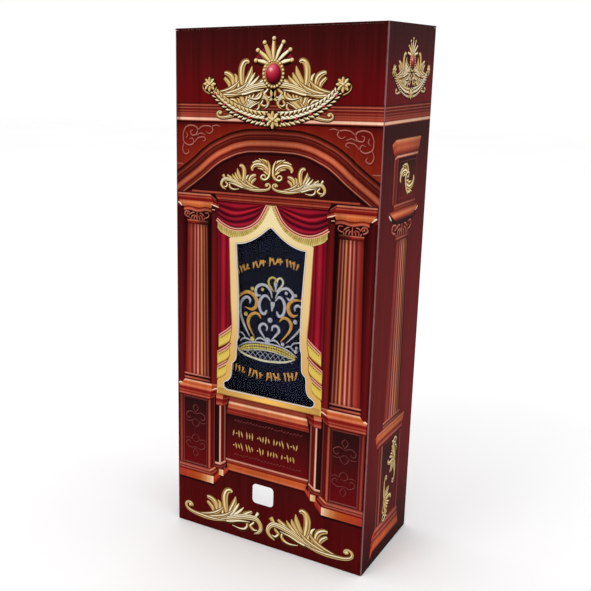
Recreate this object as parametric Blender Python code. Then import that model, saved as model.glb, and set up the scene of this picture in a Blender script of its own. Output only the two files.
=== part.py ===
"""A boxed toy torah scroll: a printed window carton with a hinged tuck-in lid, and the dressed scroll inside it.

Run with: blender --background --python part.py
Metres, +Z up. The origin is on the ground under the middle of the carton. The window faces -Y.
"""

import math

import bmesh
import bpy
from mathutils import Matrix, Vector

MM = 0.001
GAP = 0.3 * MM  # clearance kept between pieces that touch

# Carton, outside
WIDTH = 206 * MM
DEPTH = 118 * MM
HEIGHT = 500 * MM
BOARD = 1.5 * MM  # fine-flute corrugated board
FOLD_RADIUS = 0.7 * MM

# Window: an ogee-topped opening, seen from the front, that flares into a skirt at its foot
WINDOW_FOOT = 157.3 * MM
WINDOW_SHOULDER = 304.5 * MM
WINDOW_SHOULDER_HALF = 35.8 * MM
PEAK_RISE = 19.5 * MM  # of the sharp point that the rounded apex lies just under
PEAK_HOLLOW = 1.9  # power of the curve that falls from the apex to the shoulder
PEAK_ROUNDING = 0.04
# (height above the foot, half width) of the side, from the foot up to the shoulder
WINDOW_SIDE = [
    (0 * MM, 44.0 * MM),
    (1 * MM, 46.8 * MM),
    (3.2 * MM, 48.5 * MM),
    (6 * MM, 48.6 * MM),
    (8 * MM, 46.2 * MM),
    (10 * MM, 43.0 * MM),
    (13.7 * MM, 40.8 * MM),
    (17.7 * MM, 39.9 * MM),
    (27.2 * MM, 39.4 * MM),
    (30.2 * MM, 37.0 * MM),
    (33.7 * MM, 35.0 * MM),
    (42.7 * MM, 34.5 * MM),
    (50.7 * MM, 34.2 * MM),
    (55.7 * MM, 32.8 * MM),
    (72.7 * MM, 32.4 * MM),
    (102.7 * MM, 33.1 * MM),
]
APEX_STEPS = 14
SIDE_STEPS = 3
CORNER_STEPS = 5  # faces round a quarter circle of film or board

# Clear film glued behind the window
FILM = 0.3 * MM
FILM_HALF_WIDTH = 60 * MM
FILM_FOOT = 144 * MM
FILM_TOP = 336 * MM
FILM_CORNER = 5 * MM

# Lid: a panel over the walls with a tuck that slips behind the front wall
TUCK = 22 * MM
TUCK_SLOPE = math.radians(5.5)
TUCK_SIDE_MARGIN = 4 * MM
TUCK_CORNER = 9 * MM

# Dust flaps: under the lid, one on each side wall
FLAP_LENGTH = 60 * MM
FLAP_REAR_CORNER = 20 * MM
FLAP_REAR_TAPER = 14 * MM
FLAP_FRONT_TAPER = 5 * MM
FLAP_CORNER = 6 * MM

# Scroll rollers: a shaft with a handle above and below, and a disc at each end of the parchment
ROLLER_SPACING = 86 * MM
SHAFT_RADIUS = 8 * MM
HANDLE_RADIUS = 11 * MM
DISC_RADIUS = 41.5 * MM
DISC = 7 * MM
ROLLER_FOOT = BOARD + GAP
ROLLER_TOP = 490 * MM
LOWER_DISC_TOP = 118 * MM
UPPER_DISC_TOP = 371 * MM
ROLLER_SEGMENTS = 36

# Parchment: one long sheet wound on both rollers
ROLL_RADIUS = 38 * MM
PARCHMENT_BRIDGE = 1.0 * MM
ROLL_SEGMENTS = 48

# Mantle: the cloth cover that hangs over the scroll from a stiff oval top
MANTLE_WALL = 2.5 * MM
MANTLE_HALF_DEPTH = 52 * MM
MANTLE_FOOT = 106 * MM
MANTLE_TOP = UPPER_DISC_TOP + GAP + MANTLE_WALL
MANTLE_EDGE_RADIUS = 1.8 * MM
HANDLE_HOLE_RADIUS = HANDLE_RADIUS + 2 * MM
END_SEGMENTS = 20

WALL_TOP = HEIGHT - BOARD - GAP
FRONT_INSIDE = -DEPTH / 2 + BOARD
SIDE_INSIDE = WIDTH / 2 - BOARD
BACK_INSIDE = DEPTH / 2 - BOARD
LID_HINGE = Vector((0, DEPTH / 2, HEIGHT - BOARD - GAP / 2))
FLAP_HINGE_X = SIDE_INSIDE - GAP


def clear_scene():
    for obj in list(bpy.data.objects):
        bpy.data.objects.remove(obj, do_unlink=True)


def material(name, color, roughness, metallic=0.0, alpha=1.0):
    made = bpy.data.materials.new(name)
    made.use_nodes = True
    shader = made.node_tree.nodes["Principled BSDF"]
    shader.inputs["Base Color"].default_value = (*color, 1.0)
    shader.inputs["Roughness"].default_value = roughness
    shader.inputs["Metallic"].default_value = metallic
    shader.inputs["Alpha"].default_value = alpha
    made.diffuse_color = (*color, alpha)
    return made


def add_object(name, mesh_data, finish=None):
    """A mesh object from a bmesh, with its faces pointing out."""
    bmesh.ops.recalc_face_normals(mesh_data, faces=mesh_data.faces)
    mesh = bpy.data.meshes.new(name)
    mesh_data.to_mesh(mesh)
    mesh_data.free()
    obj = bpy.data.objects.new(name, mesh)
    bpy.context.scene.collection.objects.link(obj)
    if finish:
        mesh.materials.append(finish)
    return obj


def box(low, high):
    made = bmesh.new()
    bmesh.ops.create_cube(made, size=1.0)
    low, high = Vector(low), Vector(high)
    size = high - low
    made.transform(Matrix.Translation((low + high) / 2) @ Matrix.Diagonal((*size, 1.0)))
    return made


def prism(outline, start, depth, axis):
    """The outline, a list of (a, b) points, extruded by depth from start along Y or Z."""
    made = bmesh.new()
    if axis == "Y":
        points = [(a, start, b) for a, b in outline]
        travel = (0, depth, 0)
    else:
        points = [(a, b, start) for a, b in outline]
        travel = (0, 0, depth)
    face = made.faces.new([made.verts.new(point) for point in points])
    extruded = bmesh.ops.extrude_face_region(made, geom=[face])
    moved = [item for item in extruded["geom"] if isinstance(item, bmesh.types.BMVert)]
    bmesh.ops.translate(made, vec=travel, verts=moved)
    return made


def turned(profile, segments):
    """A solid of revolution about Z from (radius, z) points that start and end on the axis."""
    made = bmesh.new()
    rings = []
    for radius, z in profile:
        if radius == 0:
            rings.append([made.verts.new((0, 0, z))])
            continue
        turn = [2 * math.pi * i / segments for i in range(segments)]
        rings.append([made.verts.new((radius * math.cos(t), radius * math.sin(t), z)) for t in turn])
    for lower, upper in zip(rings, rings[1:]):
        for i in range(segments):
            j = (i + 1) % segments
            corners = [lower[i % len(lower)], lower[j % len(lower)], upper[j % len(upper)], upper[i % len(upper)]]
            made.faces.new(list(dict.fromkeys(corners)))
    return made


def cutter(name, mesh_data):
    obj = add_object(name, mesh_data)
    obj.hide_render = True
    obj.display_type = "WIRE"
    return obj


def boolean(obj, other, operation):
    modifier = obj.modifiers.new(other.name, "BOOLEAN")
    modifier.operation = operation
    modifier.solver = "EXACT"
    modifier.object = other


def smooth(obj, angle=35):
    obj.data.shade_smooth()
    obj.data.set_sharp_from_angle(angle=math.radians(angle))


def bevel_vertical_edges(mesh_data, radius, corners, segments=2):
    """Rounds the upright edges that stand at the given (x, y) corners."""
    edges = []
    for edge in mesh_data.edges:
        a, b = (vert.co for vert in edge.verts)
        upright = (a.xy - b.xy).length < 1e-6
        if upright and any((a.xy - Vector(corner)).length < 1e-5 for corner in corners):
            edges.append(edge)
    bmesh.ops.bevel(mesh_data, geom=edges, offset=radius, segments=segments, affect="EDGES", profile=0.5)


def quarter_turn(centre, radius, quarter):
    """Points along one quarter of a circle; quarter 0 starts at the first axis."""
    turns = [math.pi / 2 * (quarter + i / CORNER_STEPS) for i in range(CORNER_STEPS + 1)]
    return [(centre[0] + radius * math.cos(t), centre[1] + radius * math.sin(t)) for t in turns]


def curve_through(points, steps):
    """Points on a Catmull-Rom curve through the given ones, ends included."""
    points = [Vector(point) for point in points]
    padded = [2 * points[0] - points[1], *points, 2 * points[-1] - points[-2]]
    found = []
    for before, start, end, after in zip(padded, padded[1:], padded[2:], padded[3:]):
        for i in range(steps):
            t = i / steps
            found.append(
                0.5
                * (
                    2 * start
                    + (end - before) * t
                    + (2 * before - 5 * start + 4 * end - after) * t**2
                    + (3 * start - before - 3 * end + after) * t**3
                )
            )
    return [*found, points[-1]]


def window_outline():
    """The window seen from the front as (x, z) points: right half from foot to apex, then its mirror image."""
    side = [(half, WINDOW_FOOT + height) for height, half in WINDOW_SIDE]
    side.append((WINDOW_SHOULDER_HALF, WINDOW_SHOULDER))
    half = [tuple(point) for point in curve_through(side, SIDE_STEPS)]
    for i in range(1, APEX_STEPS + 1):
        share = 1 - i / APEX_STEPS
        rise = PEAK_RISE * (1 - math.hypot(share, PEAK_ROUNDING)) ** PEAK_HOLLOW
        half.append((WINDOW_SHOULDER_HALF * share, WINDOW_SHOULDER + rise))
    return half + [(-x, z) for x, z in reversed(half[:-1])]


def stadium(half_length, radius, segments=END_SEGMENTS):
    """Two half circles of this radius whose centres stand half_length either side of the middle."""
    points = []
    for side in (1, -1):
        for i in range(segments + 1):
            turn = math.pi * (i / segments - 0.5) + (0 if side == 1 else math.pi)
            points.append((side * half_length + radius * math.cos(turn), radius * math.sin(turn)))
    return points


def make_carton_body(finish):
    """Four walls and a bottom of one board, with the window cut through the front wall."""
    outer = box((-WIDTH / 2, -DEPTH / 2, 0), (WIDTH / 2, DEPTH / 2, WALL_TOP))
    corners = [(x * WIDTH / 2, y * DEPTH / 2) for x in (1, -1) for y in (1, -1)]
    bevel_vertical_edges(outer, FOLD_RADIUS, corners)
    body = add_object("carton_body", outer, finish)
    inside = box((-SIDE_INSIDE, FRONT_INSIDE, BOARD), (SIDE_INSIDE, BACK_INSIDE, HEIGHT + BOARD))
    boolean(body, cutter("cut_inside", inside), "DIFFERENCE")
    window = prism(window_outline(), -DEPTH / 2 - BOARD, 3 * BOARD, "Y")
    boolean(body, cutter("cut_window", window), "DIFFERENCE")
    smooth(body)
    return body


def make_window_film(finish):
    """A clear sheet with rounded corners, just behind the window."""
    x, low, high = FILM_HALF_WIDTH - FILM_CORNER, FILM_FOOT + FILM_CORNER, FILM_TOP - FILM_CORNER
    outline = []
    for quarter, centre in enumerate(((x, high), (-x, high), (-x, low), (x, low))):
        outline += quarter_turn(centre, FILM_CORNER, quarter)
    return add_object("window_film", prism(outline, FRONT_INSIDE + GAP, FILM, "Y"), finish)


def make_lid(finish):
    """The lid panel with its tuck, folded down in front and sloping a little inwards."""
    panel = box((-WIDTH / 2, -DEPTH / 2, HEIGHT - BOARD), (WIDTH / 2, DEPTH / 2, HEIGHT))
    lid = add_object("carton_lid", panel, finish)
    half = SIDE_INSIDE - TUCK_SIDE_MARGIN
    outline = [(half, 0.0), (-half, 0.0)]
    for side, quarter in ((-1, 2), (1, 3)):
        outline += quarter_turn((side * (half - TUCK_CORNER), TUCK_CORNER - TUCK), TUCK_CORNER, quarter)
    tuck = prism(outline, 0, BOARD, "Y")
    # The turn about X carries the tuck's foot towards +Y, away from the front wall.
    tuck.transform(
        Matrix.Translation((0, FRONT_INSIDE + GAP, HEIGHT - BOARD / 2)) @ Matrix.Rotation(TUCK_SLOPE, 4, "X")
    )
    boolean(lid, cutter("join_tuck", tuck), "UNION")
    return lid


def make_dust_flap(name, side, finish):
    """A flap folded in from the top of a side wall, with its rear corner cut back to clear the lid's hinge."""
    top = WALL_TOP
    rear = BACK_INSIDE - BOARD
    front = FRONT_INSIDE + GAP + BOARD + 2 * GAP
    reach = FLAP_LENGTH
    outline = [
        (0.0, front),
        (reach - FLAP_CORNER, front + FLAP_FRONT_TAPER * (reach - FLAP_CORNER) / reach),
        (reach - FLAP_CORNER * 0.3, front + FLAP_FRONT_TAPER + FLAP_CORNER * 0.3),
        (reach, front + FLAP_FRONT_TAPER + FLAP_CORNER),
        (reach, rear - FLAP_REAR_CORNER - FLAP_REAR_TAPER),
        (FLAP_REAR_CORNER, rear - FLAP_REAR_CORNER),
        (0.0, rear),
    ]
    flap = prism([(side * (FLAP_HINGE_X - a), b) for a, b in outline], top - BOARD, BOARD, "Z")
    obj = add_object(name, flap, finish)
    return obj


def roller_profile():
    """(radius, z) from the foot knob up to the top knob, both ends turned alike."""
    shaft, handle, disc = SHAFT_RADIUS, HANDLE_RADIUS, DISC_RADIUS
    half = [
        (0.0, 0.0),
        (0.62 * handle, 0.0),
        (0.9 * handle, 2.5 * MM),
        (handle, 7 * MM),
        (0.86 * handle, 12 * MM),
        (0.55 * handle, 15 * MM),
        (0.55 * handle, 18 * MM),
        (0.8 * handle, 22 * MM),
    ]
    grip = [(0.8, 0.0), (0.92, 0.35), (0.86, 0.7), (0.6, 1.0)]

    def end(tip, disc_face):
        """The turned handle between the roller's tip and the outer face of its disc."""
        way = 1 if disc_face > tip else -1
        start = 22 * MM
        length = abs(disc_face - tip) - start - 6 * MM
        rows = [(radius, tip + way * z) for radius, z in half]
        rows += [(handle * r, tip + way * (start + 4 * MM + t * (length - 4 * MM))) for r, t in grip]
        rows += [(0.95 * handle, disc_face - way * 4 * MM), (0.95 * handle, disc_face)]
        return rows

    rows = end(ROLLER_FOOT, LOWER_DISC_TOP - DISC)
    rim = 1.2 * MM
    for low in (LOWER_DISC_TOP - DISC, UPPER_DISC_TOP - DISC):
        rows += [(disc - rim, low), (disc, low + rim), (disc, low + DISC - rim), (disc - rim, low + DISC)]
        if low < UPPER_DISC_TOP - DISC:
            rows += [(shaft, low + DISC), (shaft, UPPER_DISC_TOP - DISC)]
    rows += list(reversed(end(ROLLER_TOP, UPPER_DISC_TOP)))
    return rows


def make_roller(name, side, finish):
    obj = add_object(name, turned(roller_profile(), ROLLER_SEGMENTS), finish)
    obj.location.x = side * ROLLER_SPACING / 2
    smooth(obj, 40)
    return obj


def make_parchment(finish):
    """Two wound rolls and the stretch of sheet that crosses behind them, one piece."""
    low = LOWER_DISC_TOP + 1 * MM
    high = UPPER_DISC_TOP - DISC - 1 * MM
    bridge = box(
        (-ROLLER_SPACING / 2, ROLL_RADIUS - 2 * PARCHMENT_BRIDGE, low),
        (ROLLER_SPACING / 2, ROLL_RADIUS - PARCHMENT_BRIDGE, high),
    )
    sheet = add_object("scroll_parchment", bridge, finish)
    for side, label in ((-1, "left"), (1, "right")):
        roll = turned([(0, low), (ROLL_RADIUS, low), (ROLL_RADIUS, high), (0, high)], ROLL_SEGMENTS)
        roll.transform(Matrix.Translation((side * ROLLER_SPACING / 2, 0, 0)))
        boolean(sheet, cutter(f"join_roll_{label}", roll), "UNION")
    for side, label in ((-1, "left"), (1, "right")):
        bore_radius = SHAFT_RADIUS + GAP
        bore = turned(
            [(0, low - BOARD), (bore_radius, low - BOARD), (bore_radius, high + BOARD), (0, high + BOARD)],
            ROLLER_SEGMENTS,
        )
        bore.transform(Matrix.Translation((side * ROLLER_SPACING / 2, 0, 0)))
        boolean(sheet, cutter(f"cut_bore_{label}", bore), "DIFFERENCE")
    smooth(sheet)
    return sheet


def make_mantle(finish):
    """An oval cloth cover, open below, with a hole in its top for each handle."""
    outer = prism(stadium(ROLLER_SPACING / 2, MANTLE_HALF_DEPTH), MANTLE_FOOT, MANTLE_TOP - MANTLE_FOOT, "Z")
    rim = [edge for edge in outer.edges if all(abs(v.co.z - MANTLE_TOP) < 1e-6 for v in edge.verts)]
    bmesh.ops.bevel(outer, geom=rim, offset=MANTLE_EDGE_RADIUS, segments=2, affect="EDGES", profile=0.5)
    mantle = add_object("scroll_mantle", outer, finish)
    inner_radius = MANTLE_HALF_DEPTH - MANTLE_WALL
    hollow_top = MANTLE_TOP - MANTLE_WALL
    hollow = prism(
        stadium(ROLLER_SPACING / 2, inner_radius), MANTLE_FOOT - BOARD, hollow_top - MANTLE_FOOT + BOARD, "Z"
    )
    boolean(mantle, cutter("cut_mantle_hollow", hollow), "DIFFERENCE")
    for side, label in ((-1, "left"), (1, "right")):
        low, high = hollow_top - BOARD, MANTLE_TOP + BOARD
        radius = HANDLE_HOLE_RADIUS
        hole = turned([(0, low), (radius, low), (radius, high), (0, high)], ROLLER_SEGMENTS)
        hole.transform(Matrix.Translation((side * ROLLER_SPACING / 2, 0, 0)))
        boolean(mantle, cutter(f"cut_handle_hole_{label}", hole), "DIFFERENCE")
    smooth(mantle)
    return mantle


def set_hinge(obj, pivot):
    """Hangs the object from an empty on its hinge line, without moving it."""
    hinge = bpy.data.objects.new(f"{obj.name}_hinge", None)
    hinge.empty_display_size = 20 * MM
    hinge.location = pivot
    bpy.context.scene.collection.objects.link(hinge)
    obj.parent = hinge
    obj.matrix_parent_inverse = Matrix.Translation(-Vector(pivot))


def main():
    clear_scene()
    board = material("printed_board", (0.16, 0.012, 0.012), 0.35)
    film = material("clear_film", (0.9, 0.95, 1.0), 0.05, alpha=0.12)
    velvet = material("mantle_velvet", (0.006, 0.006, 0.02), 0.9)
    wood = material("roller_wood", (0.42, 0.22, 0.1), 0.4)
    paper = material("parchment", (0.82, 0.74, 0.58), 0.8)

    make_carton_body(board)
    make_window_film(film)
    lid = make_lid(board)
    set_hinge(lid, LID_HINGE)
    for name, side in (("dust_flap_left", -1), ("dust_flap_right", 1)):
        flap = make_dust_flap(name, side, board)
        set_hinge(flap, (side * FLAP_HINGE_X, 0, WALL_TOP + GAP / 2))
    make_mantle(velvet)
    make_parchment(paper)
    make_roller("scroll_roller_left", -1, wood)
    make_roller("scroll_roller_right", 1, wood)


main()
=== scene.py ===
"""Looks of the boxed toy torah scroll: the carton's print, its clear window and the dressed scroll."""

import math
import random

import bpy
import numpy as np
from mathutils import Matrix, Vector
from mathutils.geometry import tessellate_polygon


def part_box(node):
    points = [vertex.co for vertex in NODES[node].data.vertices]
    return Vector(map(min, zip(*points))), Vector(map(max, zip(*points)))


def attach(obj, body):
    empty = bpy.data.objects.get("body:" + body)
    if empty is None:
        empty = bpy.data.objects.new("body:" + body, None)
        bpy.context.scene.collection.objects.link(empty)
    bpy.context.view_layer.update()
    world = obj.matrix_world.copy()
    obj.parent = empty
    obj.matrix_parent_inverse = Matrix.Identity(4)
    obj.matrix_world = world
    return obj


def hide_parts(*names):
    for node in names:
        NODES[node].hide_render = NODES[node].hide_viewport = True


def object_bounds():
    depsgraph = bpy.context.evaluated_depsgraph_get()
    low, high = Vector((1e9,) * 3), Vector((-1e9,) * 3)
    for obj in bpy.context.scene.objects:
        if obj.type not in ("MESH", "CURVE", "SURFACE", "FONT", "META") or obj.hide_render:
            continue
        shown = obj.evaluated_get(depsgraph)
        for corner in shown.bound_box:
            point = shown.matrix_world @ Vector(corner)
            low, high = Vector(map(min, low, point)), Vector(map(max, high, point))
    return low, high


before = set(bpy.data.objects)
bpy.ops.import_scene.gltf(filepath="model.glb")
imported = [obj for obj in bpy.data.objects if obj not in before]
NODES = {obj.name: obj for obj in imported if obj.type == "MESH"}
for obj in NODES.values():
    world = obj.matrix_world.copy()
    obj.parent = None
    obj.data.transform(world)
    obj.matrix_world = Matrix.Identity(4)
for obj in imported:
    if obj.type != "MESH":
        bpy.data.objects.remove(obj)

CAD_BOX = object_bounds()  # straight after the frame is loaded
MM = 0.001

# Carton, in millimetres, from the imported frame
WIDTH, DEPTH, HEIGHT = [(high - low) / MM for low, high in zip(*CAD_BOX)]
HALF_WIDTH, HALF_DEPTH = WIDTH / 2, DEPTH / 2
FOLD = 0.7  # radius of the board's folds, which no print layer crosses
LAYER = 0.015  # height of one printed layer over the next
INK_STRENGTH = 0.86  # how bright the ink is, next to the colours named below

# Window in the front wall, as the carton's own solid has it: heights above the foot, and half widths
WINDOW_FOOT, WINDOW_SHOULDER, WINDOW_SHOULDER_HALF = 157.3, 304.5, 35.8
PEAK_RISE, PEAK_HOLLOW, PEAK_ROUNDING = 19.5, 1.9, 0.04
WINDOW_SIDE = [
    (0, 44.0), (1, 46.8), (3.2, 48.5), (6, 48.6), (8, 46.2), (10, 43.0), (13.7, 40.8), (17.7, 39.9),
    (27.2, 39.4), (30.2, 37.0), (33.7, 35.0), (42.7, 34.5), (50.7, 34.2), (55.7, 32.8), (72.7, 32.4),
    (102.7, 33.1),
]

# Printed colours, as (tone, sRGB hex) from shadow to highlight
GOLD = [(0, "150602"), (0.16, "4c2c10"), (0.32, "8e6630"), (0.48, "bd9456"), (0.64, "dcbd7e"),
        (0.8, "f4e2aa"), (1, "fffbe6")]
CARVED = [(0, "1c0504"), (0.3, "501410"), (0.5, "7c2a20"), (0.7, "a85040"), (1, "d88c74")]
INCISED = [(0, "2c0a0a"), (0.4, "541a1a"), (0.7, "7c3e3c"), (1, "94605c")]
PEACH = [(0, "8a3a28"), (0.5, "e09a7c"), (1, "ffdcc4")]
RUBY = [(0, "2c030c"), (0.4, "7c0c22"), (0.7, "c02c44"), (1, "ffb0b4")]
INK_GOLD = [(0, "6a4420"), (0.5, "c89858"), (1, "f4dca0")]

# ---------------------------------------- colour and curves


def srgb(text):
    return np.array([int(text[i : i + 2], 16) / 255 for i in (0, 2, 4)])


def linear(colour):
    colour = np.clip(colour, 0, 1)
    return np.where(colour <= 0.04045, colour / 12.92, ((colour + 0.055) / 1.055) ** 2.4)


def ramp(stops, at):
    """The colours that (place, hex) stops give at these places."""
    places = [place for place, _ in stops]
    table = np.array([srgb(text) for _, text in stops])
    return np.stack([np.interp(at, places, table[:, i]) for i in range(3)], axis=-1)


def curve(points, samples=8):
    """A Catmull-Rom curve through the points, ends included."""
    p = np.array(points, float)
    p = np.vstack([2 * p[0] - p[1], p, 2 * p[-1] - p[-2]])
    t = np.linspace(0, 1, samples, endpoint=False)[:, None]
    found = []
    for a, b, c, d in zip(p, p[1:], p[2:], p[3:]):
        part = 2 * b + (c - a) * t + (2 * a - 5 * b + 4 * c - d) * t**2 + (3 * b - a - 3 * c + d) * t**3
        found.append(part / 2)
    return np.vstack([*found, p[-2:-1]])



def normals(path):
    """Unit normals a quarter turn clockwise from the travel: below a path that runs to the right."""
    way = np.gradient(path, axis=0)
    way /= np.maximum(np.linalg.norm(way, axis=1), 1e-9)[:, None]
    return np.stack([-way[:, 1], way[:, 0]], axis=-1)


def spread(values, count):
    """Values at even places along something, read at count places."""
    return np.interp(np.linspace(0, 1, count), np.linspace(0, 1, len(values)), values)


def resample(path, count):
    """The path again, with this many points at even distances."""
    path = np.asarray(path, float)
    run = np.concatenate([[0], np.cumsum(np.linalg.norm(np.diff(path, axis=0), axis=1))])
    at = np.linspace(0, run[-1], count)
    return np.stack([np.interp(at, run, path[:, 0]), np.interp(at, run, path[:, 1])], axis=-1)


def window_half(step=0.8):
    """The right half of the window, as (distance from the middle, distance from the top), foot to peak."""
    side = [(half, HEIGHT - WINDOW_FOOT - height) for height, half in WINDOW_SIDE]
    side.append((WINDOW_SHOULDER_HALF, HEIGHT - WINDOW_SHOULDER))
    share = np.linspace(1, 0, 40)
    rise = PEAK_RISE * np.maximum(1 - np.hypot(share, PEAK_ROUNDING), 0) ** PEAK_HOLLOW
    peak = np.stack([WINDOW_SHOULDER_HALF * share, HEIGHT - WINDOW_SHOULDER - rise], axis=-1)
    half = np.vstack([[(0, HEIGHT - WINDOW_FOOT)], curve(side, 4), peak[1:]])
    length = np.linalg.norm(np.diff(half, axis=0), axis=1).sum()
    return resample(half, int(length / step))

# ---------------------------------------- materials


class Shader:
    """A Principled material, with short calls for its nodes. Plain values go straight on its sockets."""

    def __init__(self, name, **plain):
        self.material = bpy.data.materials.new(name)
        self.material.use_nodes = True
        self.nodes, self.links = self.material.node_tree.nodes, self.material.node_tree.links
        self.principled = self.nodes["Principled BSDF"]
        for key, value in plain.items():
            socket = self.principled.inputs[key.replace("_", " ")]
            socket.default_value = (*value, 1.0) if isinstance(value, tuple) and len(value) == 3 else value

    def node(self, kind, settings=(), **inputs):
        made = self.nodes.new("ShaderNode" + kind)
        for key, value in dict(settings).items():
            setattr(made, key, value)
        for key, value in inputs.items():
            self.join(value, made.inputs[int(key[1:]) if key[1:].isdigit() else key.replace("_", " ")])
        return made

    def join(self, value, socket):
        if isinstance(value, bpy.types.NodeSocket):
            self.links.new(value, socket)
        else:
            socket.default_value = value

    def math(self, operation, a, b=0.0, c=0.0):
        return self.node("Math", {"operation": operation}, _0=a, _1=b, _2=c).outputs[0]

    def mix(self, factor, a, b, blend="MIX"):
        made = self.node("Mix", {"data_type": "RGBA", "blend_type": blend}, _0=factor)
        for value, index in ((a, 6), (b, 7)):
            self.join((*value, 1.0) if isinstance(value, tuple) else value, made.inputs[index])
        return made.outputs[2]

    def ramp(self, value, stops):
        made = self.node("ValToRGB", _0=value)
        elements = made.color_ramp.elements
        while len(elements) < len(stops):
            elements.new(0.5)
        for element, (place, text) in zip(elements, stops):
            element.position = place
            element.color = (*(linear(srgb(text)) if isinstance(text, str) else (text,) * 3), 1.0)
        return made.outputs[0]

    def place(self, scale=(1, 1, 1)):
        coordinate = self.node("TexCoord").outputs["Object"]
        return self.node("Mapping", Vector=coordinate, Scale=scale).outputs[0]

    def noise(self, vector, scale=1.0, detail=2.0, rough=0.5):
        made = self.node("TexNoise", Vector=vector, Scale=scale, Detail=detail, Roughness=rough)
        return made.outputs[0]

    def bump(self, height, distance, strength=1.0):
        made = self.node("Bump", Height=height, Distance=distance, Strength=strength)
        self.links.new(made.outputs[0], self.principled.inputs["Normal"])

    def colour(self, socket):
        self.links.new(socket, self.principled.inputs["Base Color"])
        return self.material


def wood_streaks(shader, low, high):
    """Upright grain of the printed wood, as a factor between low and high."""
    broad = shader.noise(shader.place((210, 210, 5)), detail=3)
    fine = shader.noise(shader.place((900, 900, 22)), detail=2)
    both = shader.math("MULTIPLY_ADD", fine, 0.45, shader.math("MULTIPLY", broad, 0.55))
    return shader.node("MapRange", Value=both, From_Min=0.34, From_Max=0.66, To_Min=low,
                       To_Max=high).outputs[0]


PRINT_GLOSS = dict(Roughness=0.5, Specular_IOR_Level=0.012)

# Printed mahogany of each face from its top down: (share of the height from the foot, sRGB hex)
MAHOGANY_FRONT = [(0.0, "4e0c0d"), (0.04, "5c0c0e"), (0.1, "520d0f"), (0.14, "4a0f10"), (0.32, "6a0f11"),
                  (0.68, "6c0f12"), (0.82, "500d0e"), (0.845, "6c0c0f"), (0.9, "660d10"), (0.95, "501010"),
                  (1.0, "3e0f10")]
MAHOGANY_SIDE = [(0.0, "30090b"), (0.05, "430b0d"), (0.14, "600c0f"), (0.3, "6c0d11"), (0.55, "660e11"),
                 (0.74, "500d10"), (0.82, "360a0c"), (0.838, "370a0c"), (0.85, "6a0b0f"), (0.9, "640c10"),
                 (0.95, "480e10"), (1.0, "360d0f")]


def carton_print():
    """Mahogany print outside, bare board inside and on the cuts, with a painted highlight along the upright
    folds.
    """
    shader = Shader("carton_print", **PRINT_GLOSS)
    where = shader.node("SeparateXYZ", Vector=shader.node("TexCoord").outputs["Object"]).outputs
    across = shader.math("ABSOLUTE", where[0])
    along = shader.math("ABSOLUTE", where[1])
    height = shader.math("DIVIDE", where[2], HEIGHT * MM)
    near_side = shader.math("SUBTRACT", across, HALF_WIDTH * MM)
    near_front = shader.math("SUBTRACT", along, HALF_DEPTH * MM)
    near_top = shader.math("SUBTRACT", where[2], HEIGHT * MM)
    near_foot = shader.math("MULTIPLY", where[2], -1.0)
    nearest = shader.math("MAXIMUM", shader.math("MAXIMUM", near_side, near_front),
                          shader.math("MAXIMUM", near_top, near_foot))
    outside = shader.math("GREATER_THAN", nearest, -0.3 * MM)
    on_side = shader.math("GREATER_THAN", near_side, near_front)
    wood = shader.mix(on_side, shader.ramp(height, MAHOGANY_FRONT), shader.ramp(height, MAHOGANY_SIDE))
    streaks = wood_streaks(shader, 0.56, 0.9)
    wood = shader.mix(1.0, wood, streaks, "MULTIPLY")
    # How close a point is to an upright fold: the sum of its distances from the two faces that meet there.
    fold = shader.math("ADD", near_side, near_front)
    # Painted highlight: a pale pink line along each upright fold, broken up by noise, stands in for light
    # catching the rounded fold.
    fold_highlight_noise = shader.noise(shader.place((160, 160, 160)), detail=3)
    fold_highlight = shader.node("MapRange", Value=shader.math("MULTIPLY_ADD", fold_highlight_noise, 0.9 * MM, fold),
                         From_Min=-0.95 * MM,
                         From_Max=-0.1 * MM, To_Min=0.0, To_Max=0.8).outputs[0]
    wood = shader.mix(fold_highlight, wood, tuple(linear(srgb("8a6262"))))
    fibre = shader.noise(shader.place((420, 420, 420)), detail=4, rough=0.7)
    board = shader.ramp(fibre, [(0.3, "b7aa98"), (0.5, "cabfae"), (0.7, "d8cfc0")])
    shader.bump(shader.noise(shader.place((700, 700, 700)), detail=2), 0.02 * MM, 0.25)
    return shader.colour(shader.mix(outside, board, wood))


def ink():
    """The printed artwork: its painted colour, with the wood's grain where alpha asks for it."""
    shader = Shader("printed_ink", **PRINT_GLOSS)
    paint = shader.node("Attribute", {"attribute_name": "paint"})
    streaks = wood_streaks(shader, 0.86, 1.15)
    grained = shader.mix(1.0, paint.outputs["Color"], streaks, "MULTIPLY")
    shader.bump(shader.noise(shader.place((700, 700, 700)), detail=2), 0.02 * MM, 0.25)
    return shader.colour(shader.mix(paint.outputs["Alpha"], paint.outputs["Color"], grained))


def clear_film():
    shader = Shader("clear_film", Base_Color=(0.1, 0.12, 0.15), Roughness=0.06, Alpha=0.03, IOR=1.45,
                    Specular_IOR_Level=0.05)
    shader.bump(shader.noise(shader.place((14, 14, 9)), detail=1), 0.5 * MM, 0.3)
    return shader.material


def velvet():
    """Navy pile with a violet-blue sheen, mottled where the pile has been brushed."""
    shader = Shader("navy_velvet", Roughness=0.9, Specular_IOR_Level=0.03, Sheen_Weight=0.12,
                    Sheen_Roughness=0.42,
                    Sheen_Tint=(0.22, 0.24, 0.72))
    brushed = shader.noise(shader.place((26, 26, 18)), detail=4, rough=0.6)
    pile = shader.noise(shader.place((2600, 2600, 2600)), detail=2)
    tone = shader.math("MULTIPLY_ADD", pile, 0.35, shader.math("MULTIPLY", brushed, 0.65))
    shader.bump(pile, 0.35 * MM, 0.7)
    return shader.colour(shader.ramp(tone, [(0.36, "03030a"), (0.5, "070814"), (0.64, "0e0f2a")]))


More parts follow.
